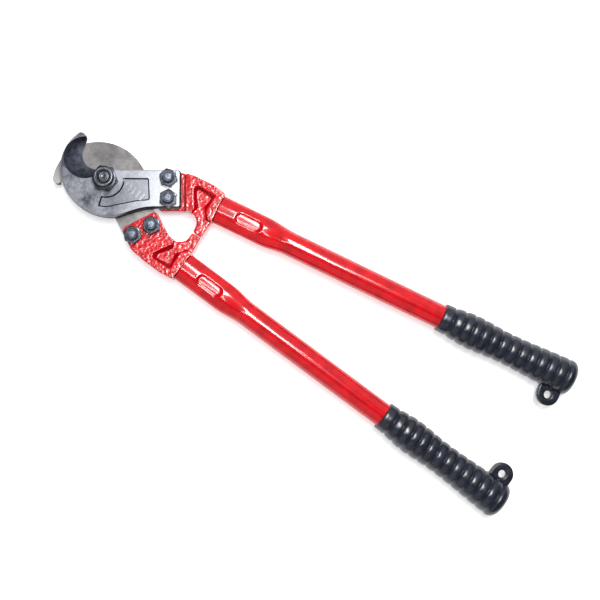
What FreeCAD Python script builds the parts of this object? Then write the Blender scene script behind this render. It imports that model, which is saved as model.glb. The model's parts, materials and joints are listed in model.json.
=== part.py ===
import FreeCAD, Part
import math
import os

import Sketcher

# Long-arm hook-blade cable cutters, closed.  Millimetres.
#
# Every piece is drawn in the frame of the UPPER half: the pivot axis is Z at X = Y = 0, the blades
# slide on each other at Z = 0, +X runs from the jaws to the grips and +Y to the upper handle.
# The lower half is the same forging, casting, tube and grip turned 180 degrees about X.
# The whole tool is then moved so that it lies on Z = 0 with its length centred on X = 0.

SIZES = {
    # Blades: a forged hook with a flat tang.  The blade frame has the tang along +X.
    "blade_thickness": 8.0,
    "tang_angle": 31.1,            # degrees between a tang and the tool's centreline
    "tang_end": 59.7,
    "tang_top": 8.1,
    "tang_width": 30.5,
    "tang_corner": 2.2,
    "hook_back_radius": 35.1,      # back of the hook, from the nose down
    "hook_join_angle": 188.3,
    "boss_radius": 11.6,
    "boss_blend": 12.0,
    "grind_hollow": 0.68,          # how far the grind has opened at half depth
    "edge_land": 0.4,
    "blade_chamfer": 1.0,
    "heel_end_angle": -83.0,
    "neck_slope": 19.0,            # degrees between the tang's edge and the neck below the heel
    "neck_blend": 6.58,            # radius of the neck, as a share of its drop
    "panel_depth": 1.0,            # sunk panel in each blade's outer face
    "panel_draft": 48.0,           # degrees that its wall leans
    "panel_inner": 13.8,
    "panel_outer": 22.4,
    "panel_bolt_gap": 14.8,        # from the panel's end to the bolts
    "panel_top": 1.3,
    "panel_foot": -16.6,
    "bar_count": 6,                # raised bars in the panel
    "bar_length": 6.2,
    "bar_width": 1.7,
    "bar_pitch": 4.0,
    "bar_height": 0.6,
    "bar_slant": 37.0,
    "bar_x": 21.0,
    "bar_y": -8.3,
    # Pivot
    "pivot_radius": 6.0,           # shoulder that the blades turn on
    "pivot_thread": 5.0,
    "pivot_clearance": 0.05,       # radial running fit of the front blade
    "blade_gap": 0.1,              # between the two sliding faces
    "pivot_nut_wall": 4.0,         # least wall of the hexagon round the thread
    "pivot_nut_hex": 8.0,
    "pivot_nut_height": 11.5,
    "pivot_collar_wall": 2.6,      # wall of the round collar round the thread
    "pivot_nut_turn": -8.0,        # how far each nut was turned, in degrees
    "pivot_nut_play": 0.05,        # the shoulder stands this far above the front blade
    "pivot_bolt_past": 1.6,
    "pivot_bolt_tip": 1.6,         # how far the turned end is smaller than the thread
    "pivot_head_wall": 3.0,        # wall of the head's hexagon round the shoulder
    "pivot_head_height": 7.5,
    "washer_land": 6.0,            # width of the washer round the shoulder
    "washer_thickness": 1.5,
    # Bolts through each tang and its casting
    "bolt_radius": 4.0,
    "bolt_back": 9.5,              # from the tang's end to the bolts
    "bolt_spacing": 16.8,
    "nut_wall": 2.5,
    "nut_hex": 5.4,
    "nut_height": 8.0,
    "nut_collar_wall": 2.1,
    "head_height": 5.3,
    "bolt_past": 1.2,
    "bolt_tip": 1.4,
    "lock_ring_width": 0.7,        # of the small nuts' lock rings
    "pivot_lock_ring_width": 1.2,
    "lock_height": 2.4,
    "lock_sink": 0.5,              # how far a lock ring lies below the collar's rim
    "upper_outer_turn": -15.0,
    "upper_inner_turn": -31.0,
    "lower_outer_turn": -17.0,
    "lower_inner_turn": -32.0,
    # Castings
    "casting_half": 8.0,           # half thickness, and thickness of the lap under a tang
    "casting_web": 4.6,            # half thickness of the web and the stop lug
    "casting_edge": 1.0,           # cast edge rounding
    "step_gap": 2.2,               # between the end of a tang and the casting's step
    "step_wall": 9.9,              # from the step to the dished recess
    "rim_wall": 4.8,               # between the recess and the casting's outer side
    "socket_wall": 6.8,            # between the recess and the tube
    "recess_corner": 2.0,
    "lap_reach": 9.4,              # how far the lap runs past the bolts
    "lug_face": 0.45,              # Y of the stop face, so the two stops are 0.9 apart
    "lug_back": 7.9,               # from the lug's side to the socket
    "lug_width": 7.8,
    "socket_reach": 35.8,          # from the tang's end to the socket, along the tool
    "socket_rise": 1.45,           # how far the socket lies outside the tang's middle
    "socket_width": 26.0,
    "handle_angle": 5.4,
    "stem_length": 42.0,
    "stem_root": 4.0,
    # Handle tubes
    "tube_radius": 10.0,
    "tube_wall": 2.0,
    "tube_length": 309.0,
    "oval_width": 24.0,
    "oval_height": 16.0,
    "oval_length": 46.0,
    "blend_length": 16.0,
    "crimp_start": 14.5,
    "crimp_length": 24.0,
    "crimp_width": 10.0,
    "crimp_depth": 1.0,
    # Grips
    "grip_length": 118.0,
    "grip_cap": 8.0,               # thickness of the closed end
    "grip_rim": 1.8,               # thickness over the tube at the rim, and along the ribs
    "grip_swell": 4.2,
    "grip_waist": 2.9,
    "grip_tail": 5.1,
    "grip_end_round": 6.5,
    "groove_count": 13,
    "groove_first": 8.9,
    "groove_pitch": 8.3,
    "groove_depth": 1.1,
    "groove_width": 2.0,
    "tab_from_end": 13.6,
    "tab_hole_offset": 19.1,
    "tab_hole_radius": 3.1,
    "tab_width": 18.4,
    "tab_wall": 5.9,
    "tab_thickness": 6.0,
}

# The rest of the hook, as shares of the radius of its back.
HOOK_SHARES = {
    "hook_heel_radius": 1.1567,    # heel of the hook, tangent to the back
    "hook_x": -0.0427,
    "hook_y": 0.2707,
    "nose_radius": 0.1083,
    "nose_edge": -0.4672,          # X of the nose's inner side
    "throat_radius": 0.3333,       # the cutting edge
    "throat_x": -0.2450,
    "throat_y": 0.6040,
    "grind_radius": 0.4843,        # hollow grind at the blade's outer face
    "grind_x": -0.4758,
    "grind_y": 0.5043,
}
for share_name, share in HOOK_SHARES.items():
    SIZES[share_name] = share * SIZES["hook_back_radius"]
V = SIZES

doc = FreeCAD.newDocument("cutters")
sheet = doc.addObject("Spreadsheet::Sheet", "Sizes")
for row, (alias, value) in enumerate(SIZES.items(), 1):
    sheet.set("A%d" % row, alias)
    sheet.set("B%d" % row, str(value))
    sheet.setAlias("B%d" % row, alias)
doc.recompute()

ORIGIN = FreeCAD.Vector(0, 0, 0)
X_AXIS = FreeCAD.Vector(1, 0, 0)
Z_AXIS = FreeCAD.Vector(0, 0, 1)
nodes = []


# ---------------------------------------------------------------- small helpers

def bind(obj, **links):
    """Tie properties of an object to expressions on the sheet."""
    for prop, expression in links.items():
        obj.setExpression(prop, expression)
    return obj


def polar(cx, cy, radius, degrees):
    """Point on a circle."""
    a = math.radians(degrees)
    return (cx + radius * math.cos(a), cy + radius * math.sin(a))


def line(a, b):
    return Part.LineSegment(FreeCAD.Vector(a[0], a[1], 0), FreeCAD.Vector(b[0], b[1], 0))


def arc(cx, cy, radius, start, end):
    """Arc from one angle to another in degrees, anticlockwise if end > start."""
    middle = polar(cx, cy, radius, (start + end) / 2)
    points = [polar(cx, cy, radius, start), middle, polar(cx, cy, radius, end)]
    return Part.Arc(*[FreeCAD.Vector(x, y, 0) for x, y in points])


def rounded(corners, closed=True):
    """Lines through corners (x, y, radius), with a tangent arc at each corner that has a radius."""
    count = len(corners)
    pieces = []
    for i, (x, y, radius) in enumerate(corners):
        if not closed and i in (0, count - 1) or radius == 0:
            pieces.append(((x, y), None, (x, y)))
            continue
        before, after = corners[i - 1], corners[(i + 1) % count]
        u = FreeCAD.Vector(before[0] - x, before[1] - y, 0).normalize()
        w = FreeCAD.Vector(after[0] - x, after[1] - y, 0).normalize()
        half = u.getAngle(w) / 2
        reach = radius / math.tan(half)
        corner = FreeCAD.Vector(x, y, 0)
        centre = corner + (u + w).normalize() * (radius / math.sin(half))
        middle = centre + (corner - centre).normalize() * radius
        start, end = corner + u * reach, corner + w * reach
        pieces.append(((start.x, start.y), (middle.x, middle.y), (end.x, end.y)))
    segments = []
    for i, (start, middle, end) in enumerate(pieces):
        if middle is not None:
            through = [FreeCAD.Vector(p[0], p[1], 0) for p in (start, middle, end)]
            segments.append(Part.Arc(*through))
        if i + 1 < count or closed:
            segments.append(line(end, pieces[(i + 1) % count][0]))
    return segments


def sketch(body, name, segments=(), plane="XY_Plane", offset=None):
    """Sketch on one of the body's own planes, with its segments joined end to end."""
    sk = body.newObject("Sketcher::SketchObject", name)
    origin = [f for f in body.Origin.OriginFeatures if f.Role == plane][0]
    sk.AttachmentSupport = (origin, [""])
    sk.MapMode = "FlatFace"
    if offset:
        sk.setExpression("AttachmentOffset.Base.z", offset)
    for segment in segments:
        sk.addGeometry(segment)
    count = len(segments)
    for i in range(count if count > 1 else 0):
        k = (i + 1) % count
        joint = segments[i].EndPoint
        here, there = [min((1, 2), key=lambda end: sk.getPoint(g, end).distanceToPoint(joint))
                       for g in (i, k)]
        sk.addConstraint(Sketcher.Constraint("Coincident", i, here, k, there))
    return sk


def circles(body, name, rings, plane="XY_Plane", offset=None):
    """Sketch of circles, each (x, y, radius expression, radius), centred where it is given."""
    sk = sketch(body, name, (), plane, offset)
    for i, (x, y, expression, radius) in enumerate(rings):
        sk.addGeometry(Part.Circle(FreeCAD.Vector(x, y, 0), Z_AXIS, radius))
        at = sk.addConstraint(Sketcher.Constraint("Radius", i, radius))
        sk.setExpression("Constraints[%d]" % at, expression)
        for kind, value in (("DistanceX", x), ("DistanceY", y)):
            if value == 0:
                axis = -2 if kind == "DistanceX" else -1
                sk.addConstraint(Sketcher.Constraint("PointOnObject", i, 3, axis))
            elif value > 0:
                sk.addConstraint(Sketcher.Constraint(kind, -1, 1, i, 3, value))
            else:
                sk.addConstraint(Sketcher.Constraint(kind, i, 3, -1, 1, -value))
    return sk


def pad(body, name, profile, length, middle=False, down=False):
    feature = body.newObject("PartDesign::Pad", name)
    feature.Profile = profile
    feature.setExpression("Length", length)
    feature.Reversed = down
    if middle:
        feature.SideType = "Symmetric"
    profile.Visibility = False
    return feature


def pocket(body, name, profile, length=None, up=False):
    """Pocket into the solid; through everything, both ways, when it has no length."""
    before = body.Shape.Volume
    feature = body.newObject("PartDesign::Pocket", name)
    feature.Profile = profile
    if length is None:
        feature.Type = "ThroughAll"
        feature.SideType = "Symmetric"
    else:
        feature.setExpression("Length", length)
        feature.Reversed = up
    doc.recompute()
    if not body.Shape.Volume < before - 1e-3:
        raise RuntimeError(name + " cuts nothing")
    return feature


def new_body(name):
    return doc.addObject("PartDesign::Body", name)


def node(obj, label, upper=True, turn=None, at=(0, 0, 0)):
    """Name a finished piece and put it in its half of the tool.

    turn is an angle about Z in degrees and at a shift, both in the frame of the upper half."""
    obj.Label = label
    placement = FreeCAD.Placement(FreeCAD.Vector(*at), FreeCAD.Rotation(Z_AXIS, turn or 0))
    if not upper:
        placement = FreeCAD.Placement(ORIGIN, FreeCAD.Rotation(X_AXIS, 180)) * placement
    bench = FreeCAD.Placement(FreeCAD.Vector(pivot_x, 0, bench_height), FreeCAD.Rotation())
    obj.Placement = bench * placement
    nodes.append(obj)
    return obj


def to_upper(x, y, degrees):
    """Point of a frame turned about the pivot, in the frame of the upper half."""
    a = math.radians(degrees)
    return (x * math.cos(a) - y * math.sin(a), x * math.sin(a) + y * math.cos(a))


# ---------------------------------------------------------------- places worked out from the sizes

tang_foot = V["tang_top"] - V["tang_width"]
tang_middle = V["tang_top"] - V["tang_width"] / 2
step_x = V["tang_end"] + V["step_gap"]
bolt_x = V["tang_end"] - V["bolt_back"]
bolt_ys = [tang_middle + side * V["bolt_spacing"] / 2 for side in (1, -1)]
step_middle = to_upper(step_x, tang_middle, V["tang_angle"])
socket_x = to_upper(step_x, 0, V["tang_angle"])[0] + V["socket_reach"]
socket_y = step_middle[1] + V["socket_rise"]
grip_start = V["tube_length"] + V["grip_cap"] - V["grip_length"]
grip_end_s = grip_start + V["grip_length"]
tail_radius = V["tube_radius"] + V["grip_tail"]
end_round = V["grip_end_round"]
end_corner = to_upper(grip_end_s - end_round, tail_radius - end_round, -V["handle_angle"])
handle_end_x = socket_x + end_corner[0] + end_round
heel_shift = V["hook_heel_radius"] - V["hook_back_radius"]
heel_x, heel_y = polar(V["hook_x"], V["hook_y"], heel_shift, V["hook_join_angle"] - 180)
hook_front = to_upper(V["hook_x"], V["hook_y"], V["tang_angle"])[0] - V["hook_back_radius"]
pivot_x = -(handle_end_x + hook_front) / 2
bench_height = V["blade_thickness"] + V["washer_thickness"] + V["pivot_head_height"]


# ---------------------------------------------------------------- blades

def blade_outline():
    """Outline of the forging: tang, heel and back of the hook, nose, throat and pivot boss."""
    heel_end = V["heel_end_angle"]
    heel_tip = polar(heel_x, heel_y, V["hook_heel_radius"], heel_end)
    neck_slope = math.tan(math.radians(V["neck_slope"]))
    neck_x = heel_tip[0] + (tang_foot - heel_tip[1]) / neck_slope

    # The nose touches the back of the hook from inside.
    nose_x = V["nose_edge"] - V["nose_radius"]
    reach = V["hook_back_radius"] - V["nose_radius"]
    nose_y = V["hook_y"] + math.sqrt(reach ** 2 - (nose_x - V["hook_x"]) ** 2)
    back_end = math.degrees(math.atan2(nose_y - V["hook_y"], nose_x - V["hook_x"]))

    # A line touches the nose on one side and the throat on the other.
    dx, dy = V["throat_x"] - nose_x, V["throat_y"] - nose_y
    between = math.hypot(dx, dy)
    lean = math.degrees(math.acos((V["nose_radius"] + V["throat_radius"]) / between))
    touch = math.degrees(math.atan2(dy, dx)) + lean
    nose_touch = polar(nose_x, nose_y, V["nose_radius"], touch)
    throat_touch = polar(V["throat_x"], V["throat_y"], V["throat_radius"], touch + 180)

    # The throat runs out on the pivot boss.
    far = math.hypot(V["throat_x"], V["throat_y"])
    along = (far ** 2 + V["boss_radius"] ** 2 - V["throat_radius"] ** 2) / (2 * far)
    towards = math.degrees(math.atan2(V["throat_y"], V["throat_x"]))
    boss_start = towards + math.degrees(math.acos(along / V["boss_radius"]))
    meet = polar(0, 0, V["boss_radius"], boss_start)
    throat_end = math.degrees(math.atan2(meet[1] - V["throat_y"], meet[0] - V["throat_x"]))

    # A hollow arc joins the boss to the tang.
    blend_y = V["tang_top"] + V["boss_blend"]
    span = V["boss_radius"] + V["boss_blend"]
    blend_x = math.sqrt(span ** 2 - blend_y ** 2)
    boss_end = math.degrees(math.atan2(blend_y, blend_x))

    tang = rounded([
        (blend_x, V["tang_top"], 0),
        (V["tang_end"], V["tang_top"], V["tang_corner"]),
        (V["tang_end"], tang_foot, V["tang_corner"]),
        (neck_x, tang_foot, V["neck_blend"] * (tang_foot - heel_tip[1])),
        (heel_tip[0], heel_tip[1], 0),
    ], closed=False)
    return tang + [
        arc(heel_x, heel_y, V["hook_heel_radius"], heel_end, V["hook_join_angle"] - 360),
        arc(V["hook_x"], V["hook_y"], V["hook_back_radius"], V["hook_join_angle"], back_end),
        arc(nose_x, nose_y, V["nose_radius"], back_end, touch),
        line(nose_touch, throat_touch),
        arc(V["throat_x"], V["throat_y"], V["throat_radius"], touch + 180, throat_end + 360),
        arc(0, 0, V["boss_radius"], boss_start, boss_end),
        arc(blend_x, blend_y, V["boss_blend"], boss_end + 180, 270),
    ]


def panel_outline():
    """Sunk panel between the pivot boss and the bolts."""
    low, left = -72.0, -105.0      # directions from the pivot of its foot and of its narrow end
    end = bolt_x - V["panel_bolt_gap"]
    foot = polar(0, 0, V["panel_outer"], low)
    top_x = math.sqrt(V["panel_inner"] ** 2 - V["panel_top"] ** 2)
    top_angle = math.degrees(math.atan2(V["panel_top"], top_x))
    bend = (foot[0] + 0.63 * (end - foot[0]), V["panel_foot"] - 0.9)
    right = rounded([
        (top_x, V["panel_top"], 0),
        (end - 1, V["panel_top"], 1.4),
        (end, V["panel_foot"], 1.8),
        (bend[0], bend[1], 20.0),
        (foot[0], foot[1], 0),
    ], closed=False)
    return right + [
        arc(0, 0, V["panel_outer"], low, left),
        line(polar(0, 0, V["panel_outer"], left), polar(0, 0, V["panel_inner"], left)),
        arc(0, 0, V["panel_inner"], left, top_angle),
    ]


def blade(label, upper, bore):
    """One blade; bore is the expression of the radius of its pivot hole."""
    body = new_body(label + "_body")
    outline = sketch(body, label + "_outline", blade_outline(), offset="Sizes.blade_gap / 2")
    pad(body, label + "_forging", outline, "Sizes.blade_thickness - Sizes.blade_gap / 2")
    doc.recompute()

    # Chamfer round the outer face.  The throat gets the hollow grind instead.
    top = V["blade_thickness"]
    edges = []
    for i, edge in enumerate(body.Shape.Edges, 1):
        box = edge.BoundBox
        on_top = box.ZMin > top - 1e-4
        throat = FreeCAD.Vector(V["throat_x"], V["throat_y"], top)
        in_throat = on_top and abs(edge.CenterOfMass.distanceToPoint(throat)) < V["throat_radius"] + 1.0
        if on_top and not in_throat:
            edges.append("Edge%d" % i)
    forging = body.Tip
    chamfer = body.newObject("PartDesign::Chamfer", label + "_chamfer")
    chamfer.Base = (forging, edges)
    bind(chamfer, Size="Sizes.blade_chamfer")
    doc.recompute()

    # Hollow grind: from the cutting edge out to a wider circle at the outer face.
    sections = []
    for name, share, height in (("edge", 0.0, "Sizes.edge_land"),
                                ("half", V["grind_hollow"], "Sizes.blade_thickness / 2"),
                                ("face", 1.0, "Sizes.blade_thickness")):
        x = V["throat_x"] + share * (V["grind_x"] - V["throat_x"])
        y = V["throat_y"] + share * (V["grind_y"] - V["throat_y"])
        radius = V["throat_radius"] + share * (V["grind_radius"] - V["throat_radius"])
        rule = "Sizes.throat_radius + %s * (Sizes.grind_radius - Sizes.throat_radius)" % (
            "Sizes.grind_hollow" if name == "half" else str(share))
        sections.append(circles(body, label + "_grind_" + name, [(x, y, rule, radius)], offset=height))
    grind = body.newObject("PartDesign::SubtractiveLoft", label + "_grind")
    grind.Profile = sections[0]
    grind.Sections = sections[1:]
    doc.recompute()

    # The nut or washer seats on a round land that the grind leaves standing.
    land = (0, 0, "Sizes.boss_radius - Sizes.blade_chamfer", V["boss_radius"] - V["blade_chamfer"])
    seat = circles(body, label + "_seat", [land], offset="Sizes.blade_gap / 2")
    pad(body, label + "_boss", seat, "Sizes.blade_thickness - Sizes.blade_gap / 2")
    doc.recompute()

    panel = sketch(body, label + "_panel_outline", panel_outline(), offset="Sizes.blade_thickness")
    sunk = pocket(body, label + "_panel", panel, "Sizes.panel_depth")
    bind(sunk, TaperAngle="-Sizes.panel_draft")
    doc.recompute()
    bars = sketch(body, label + "_bars_outline", (), offset="Sizes.blade_thickness - Sizes.panel_depth")
    slant = math.radians(V["bar_slant"])
    along = FreeCAD.Vector(math.cos(slant), -math.sin(slant), 0)
    across = FreeCAD.Vector(math.sin(slant), math.cos(slant), 0)
    middle = FreeCAD.Vector(V["bar_x"], V["bar_y"], 0)
    for i in range(V["bar_count"]):
        centre = middle + along * ((i - (V["bar_count"] - 1) / 2) * V["bar_pitch"])
        corners = [centre + along * (a * V["bar_width"] / 2) + across * (b * V["bar_length"] / 2)
                   for a, b in ((-1, -1), (1, -1), (1, 1), (-1, 1))]
        for k in range(4):
            first = bars.addGeometry(Part.LineSegment(corners[k], corners[(k + 1) % 4]))
            if k:
                bars.addConstraint(Sketcher.Constraint("Coincident", first - 1, 2, first, 1))
        bars.addConstraint(Sketcher.Constraint("Coincident", first, 2, first - 3, 1))
    pad(body, label + "_bars", bars, "Sizes.bar_height")
    doc.recompute()

    holes = circles(body, label + "_holes", [(0, 0, bore, V["pivot_radius"])] + [
        (bolt_x, y, "Sizes.bolt_radius", V["bolt_radius"]) for y in bolt_ys])
    pocket(body, label + "_bores", holes)
    return node(body, label, upper, V["tang_angle"])


# ---------------------------------------------------------------- handle castings

def casting(label, upper):
    """Casting between a blade and its tube: a lap under the tang, a dished body, a stop lug and a stem."""
    angle = V["tang_angle"]
    lean = math.radians(V["handle_angle"])
    half = V["socket_width"] / 2
    out, into = [(socket_x - side * half * math.sin(lean), socket_y + side * half * math.cos(lean))
                 for side in (1, -1)]
    corner = V["recess_corner"]

    # Corners beside the step, given along and across the tang, and their ends by the socket.
    foot = to_upper(step_x + 1.6, tang_foot - 1.7, angle)
    neck = to_upper(step_x + 7.0, tang_foot - 4.0, angle)
    wall_low = to_upper(step_x + V["step_wall"], tang_foot - 1.9, angle)
    wall_high = to_upper(step_x + V["step_wall"] - 0.3, tang_foot + 0.55 * V["tang_width"], angle)
    crown = to_upper(step_x + 1.1, V["tang_top"] - 2.1, angle)
    ceiling = out[1] - V["rim_wall"]
    right = out[0] - V["socket_wall"] + 1.2
    span = out[0] - crown[0]

    body = new_body(label + "_body")
    rim = sketch(body, label + "_rim_outline", rounded([
        (foot[0], foot[1], 2.0),
        (neck[0], neck[1], 1.0),
        (wall_low[0], wall_low[1], 1.5),
        (wall_high[0], wall_high[1], corner),
        (wall_high[0] + 1.4, ceiling - 0.4, corner),
        (right + 0.2, ceiling, corner),
        (right, into[1] + 4.6, 2 * corner),
        (right + 4.0, into[1] + 0.7, 3.0),
        (into[0], into[1], 1.5),
        (out[0], out[1], 2.0),
        (out[0] - 0.32 * span, out[1] + 1.0, 30.0),
        (out[0] - 0.78 * span, out[1] - 0.5, 20.0),
        (crown[0], crown[1], 1.5),
    ]))
    pad(body, label + "_rim", rim, "2 * Sizes.casting_half", middle=True)
    lug_x = socket_x - V["lug_back"]
    web = sketch(body, label + "_web_outline", rounded([
        (neck[0] - 1.5, neck[1] + 1.0, 0.5),
        (neck[0] + 1.5, neck[1], 4.0),
        (lug_x - 0.6, into[1] - 5.8, 8.0),
        (lug_x - 0.3, V["lug_face"], 1.5),
        (lug_x + V["lug_width"], V["lug_face"], 1.5),
        (into[0] - 0.6, into[1] - 0.3, 2.0),
        (into[0] - 1.0, socket_y, 1.0),
        (right + 1.5, ceiling + 1.4, 1.0),
        (wall_high[0] - 1.7, ceiling + 0.4, 1.0),
    ]))
    pad(body, label + "_web", web, "2 * Sizes.casting_web", middle=True)
    lap_x = bolt_x - V["lap_reach"]
    lap_low = to_upper(lap_x, tang_foot - 1.5, angle)
    lap_high = to_upper(lap_x, V["tang_top"] - 0.2, angle)
    lap_crown = to_upper(step_x - 1.4, V["tang_top"] - 0.4, angle)
    lap_plate = sketch(body, label + "_lap_outline", rounded([
        (lap_low[0], lap_low[1], 4.0),
        (foot[0], foot[1] + 0.2, 3.0),
        (neck[0] - 1.0, neck[1] + 2.0, 1.0),
        (wall_high[0] - 2.2, ceiling + 0.4, 1.0),
        (out[0] - 0.78 * span, out[1] - 1.0, 2.0),
        (lap_crown[0], lap_crown[1], 8.0),
        (lap_high[0], lap_high[1], 6.0),
    ]), offset="-Sizes.casting_half")
    pad(body, label + "_lap", lap_plate, "Sizes.casting_half + Sizes.blade_gap / 2")
    doc.recompute()

    # The stem fills the oval end of the tube.
    stem = body.newObject("Sketcher::SketchObject", label + "_stem_outline")
    plane = [f for f in body.Origin.OriginFeatures if f.Role == "YZ_Plane"][0]
    stem.AttachmentSupport = (plane, [""])
    stem.MapMode = "FlatFace"
    turn = FreeCAD.Rotation(FreeCAD.Vector(0, 1, 0), V["handle_angle"])
    stem.AttachmentOffset = FreeCAD.Placement(FreeCAD.Vector(socket_y, 0, socket_x), turn)
    wide, high = [V[name] / 2 - V["tube_wall"] for name in ("oval_width", "oval_height")]
    stem.addGeometry(Part.Ellipse(ORIGIN, wide, high))
    pad(body, label + "_stem", stem, "Sizes.stem_length")
    root = body.newObject("PartDesign::Pad", label + "_stem_root")
    root.Profile = stem
    bind(root, Length="Sizes.stem_root")
    root.Reversed = True
    doc.recompute()

    # Cast edges of the top and bottom faces are rounded over.
    top = V["casting_half"]
    edges = []
    for i, edge in enumerate(body.Shape.Edges, 1):
        box = edge.BoundBox
        if abs(abs(box.ZMin) - top) < 1e-4 and box.ZMax - box.ZMin < 1e-4:
            edges.append("Edge%d" % i)
    if edges:
        rough = body.Tip
        round_over = body.newObject("PartDesign::Fillet", label + "_edges")
        round_over.Base = (rough, edges)
        bind(round_over, Radius="Sizes.casting_edge")
        doc.recompute()

    rings = []
    for y in bolt_ys:
        x, up = to_upper(bolt_x, y, V["tang_angle"])
        rings.append((x, up, "Sizes.bolt_radius", V["bolt_radius"]))
    pocket(body, label + "_bores", circles(body, label + "_holes", rings))
    return node(body, label, upper)


# ---------------------------------------------------------------- handle tubes

def tube_core(label, inset):
    """Oval stretch, blend and round stretch along X; inset takes the wall off every radius."""
    wide = "Sizes.oval_width / 2 - " + inset
    high = "Sizes.oval_height / 2 - " + inset
    ring = "Sizes.tube_radius - " + inset
    blend_end = "Sizes.oval_length + Sizes.blend_length"
    stand_up = FreeCAD.Rotation(FreeCAD.Vector(1, 1, 1), 120)
    ovals = []
    for name, place in (("start", "0"), ("end", "Sizes.oval_length")):
        oval = doc.addObject("Part::Ellipse", label + "_oval_" + name)
        oval.Placement = FreeCAD.Placement(ORIGIN, stand_up)
        ovals.append(bind(oval, MajorRadius=wide, MinorRadius=high, **{"Placement.Base.x": place}))
    circle = doc.addObject("Part::Circle", label + "_circle")
    circle.Placement = FreeCAD.Placement(ORIGIN, stand_up)
    bind(circle, Radius=ring, **{"Placement.Base.x": blend_end})
    parts = []
    for name, sections in (("oval", ovals), ("blend", [ovals[1], circle])):
        loft = doc.addObject("Part::Loft", label + "_" + name)
        loft.Sections = sections
        loft.Solid = True
        loft.Ruled = True
        parts.append(loft)
    run = doc.addObject("Part::Cylinder", label + "_run")
    run.Placement = FreeCAD.Placement(ORIGIN, FreeCAD.Rotation(FreeCAD.Vector(0, 1, 0), 90))
    bind(run, Radius=ring, Height="Sizes.tube_length - Sizes.oval_length - Sizes.blend_length",
         **{"Placement.Base.x": blend_end})
    whole = doc.addObject("Part::MultiFuse", label)
    whole.Shapes = parts + [run]
    return whole


def tube(label, upper):
    """Handle tube, pressed oval over the stem and crimped on both faces."""
    outside = tube_core(label + "_outside", "0")
    inside = tube_core(label + "_inside", "Sizes.tube_wall")
    hollow = doc.addObject("Part::Cut", label + "_hollow")
    hollow.Base = outside
    hollow.Tool = inside
    crimps = []
    for side, word in ((1, "top"), (-1, "bottom")):
        depth = "Sizes.oval_height / 2 - Sizes.crimp_depth"
        floor = depth if side > 0 else "-(%s) - Sizes.crimp_depth" % depth
        middle = doc.addObject("Part::Box", label + "_crimp_" + word)
        bind(middle, Length="Sizes.crimp_length - Sizes.crimp_width", Width="Sizes.crimp_width",
             Height="Sizes.crimp_depth",
             **{"Placement.Base.x": "Sizes.crimp_start + Sizes.crimp_width / 2",
                "Placement.Base.y": "-Sizes.crimp_width / 2", "Placement.Base.z": floor})
        crimps.append(middle)
        for k, end in ((0, "Sizes.crimp_start + Sizes.crimp_width / 2"),
                       (1, "Sizes.crimp_start + Sizes.crimp_length - Sizes.crimp_width / 2")):
            cap = doc.addObject("Part::Cylinder", "%s_crimp_%s_%d" % (label, word, k))
            bind(cap, Radius="Sizes.crimp_width / 2", Height="Sizes.crimp_depth",
                 **{"Placement.Base.x": end, "Placement.Base.z": floor})
            crimps.append(cap)
    dents = doc.addObject("Part::MultiFuse", label + "_dents")
    dents.Shapes = crimps
    result = doc.addObject("Part::Cut", label + "_tube")
    result.Base = hollow
    result.Tool = dents
    doc.recompute()
    return node(result, label, upper, V["handle_angle"], (socket_x, socket_y, 0))


# ---------------------------------------------------------------- grips

def crest(s):
    """Radius of the grip's ribs at a distance from its rim."""
    share = s / V["grip_length"]
    stops = [(0.0, "grip_rim"), (0.24, "grip_swell"), (0.48, "grip_waist"), (1.0, "grip_tail")]
    for (a, low), (b, high) in zip(stops, stops[1:]):
        if share <= b:
            blend = (1 - math.cos(math.pi * (share - a) / (b - a))) / 2
            return V["tube_radius"] + V[low] + (V[high] - V[low]) * blend
    return tail_radius


def grip_outline():
    """Half section of the ribbed sleeve: X along the handle, Y the radius."""
    bore = V["tube_radius"]
    points = [(0, bore), (0, crest(0) - 0.5), (0.5, crest(0))]
    for i in range(V["groove_count"]):
        middle = V["groove_first"] + i * V["groove_pitch"]
        half = V["groove_width"] / 2
        low = crest(middle) - V["groove_depth"]
        points += [(middle - half, crest(middle - half)), (middle - half / 3, low),
                   (middle + half / 3, low), (middle + half, crest(middle + half))]
    length = V["grip_length"]
    tail = [(x, y, 0) for x, y in points] + [
        (length, crest(length), V["grip_end_round"]),
        (length, 0, 0),
        (length - V["grip_cap"], 0, 0),
        (length - V["grip_cap"], bore, 0),
    ]
    return rounded(tail)


def grip(label, upper):
    """Ribbed sleeve with a closed end and a flat hanging tab on its inner side."""
    body = new_body(label + "_body")
    section = sketch(body, label + "_section", grip_outline())
    turned = body.newObject("PartDesign::Revolution", label + "_sleeve")
    turned.Profile = section
    turned.ReferenceAxis = (section, ["H_Axis"])
    turned.Angle = 360
    doc.recompute()
    x = V["grip_length"] - V["tab_from_end"]
    half = V["tab_width"] / 2
    y = -V["tab_hole_offset"]
    reach = V["tab_hole_radius"] + V["tab_wall"]
    root = -V["tube_radius"] - 1.0
    outline = sketch(body, label + "_tab_outline", rounded([
        (x - half, root, 0),
        (x - half, y - reach + 3.0, 6.0),
        (x - 3.0, y - reach, 6.0),
        (x + 3.0, y - reach, 6.0),
        (x + half, y - reach + 3.0, 6.0),
        (x + half, root, 0),
    ]))
    pad(body, label + "_tab", outline, "Sizes.tab_thickness", middle=True)
    doc.recompute()
    hole = circles(body, label + "_hole_ring", [(x, y, "Sizes.tab_hole_radius", V["tab_hole_radius"])])
    pocket(body, label + "_hole", hole)
    start = to_upper(grip_start, 0, V["handle_angle"])
    at = (socket_x + start[0], socket_y + start[1], 0)
    return node(body, label, upper, V["handle_angle"], at)


# ---------------------------------------------------------------- fasteners

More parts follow.
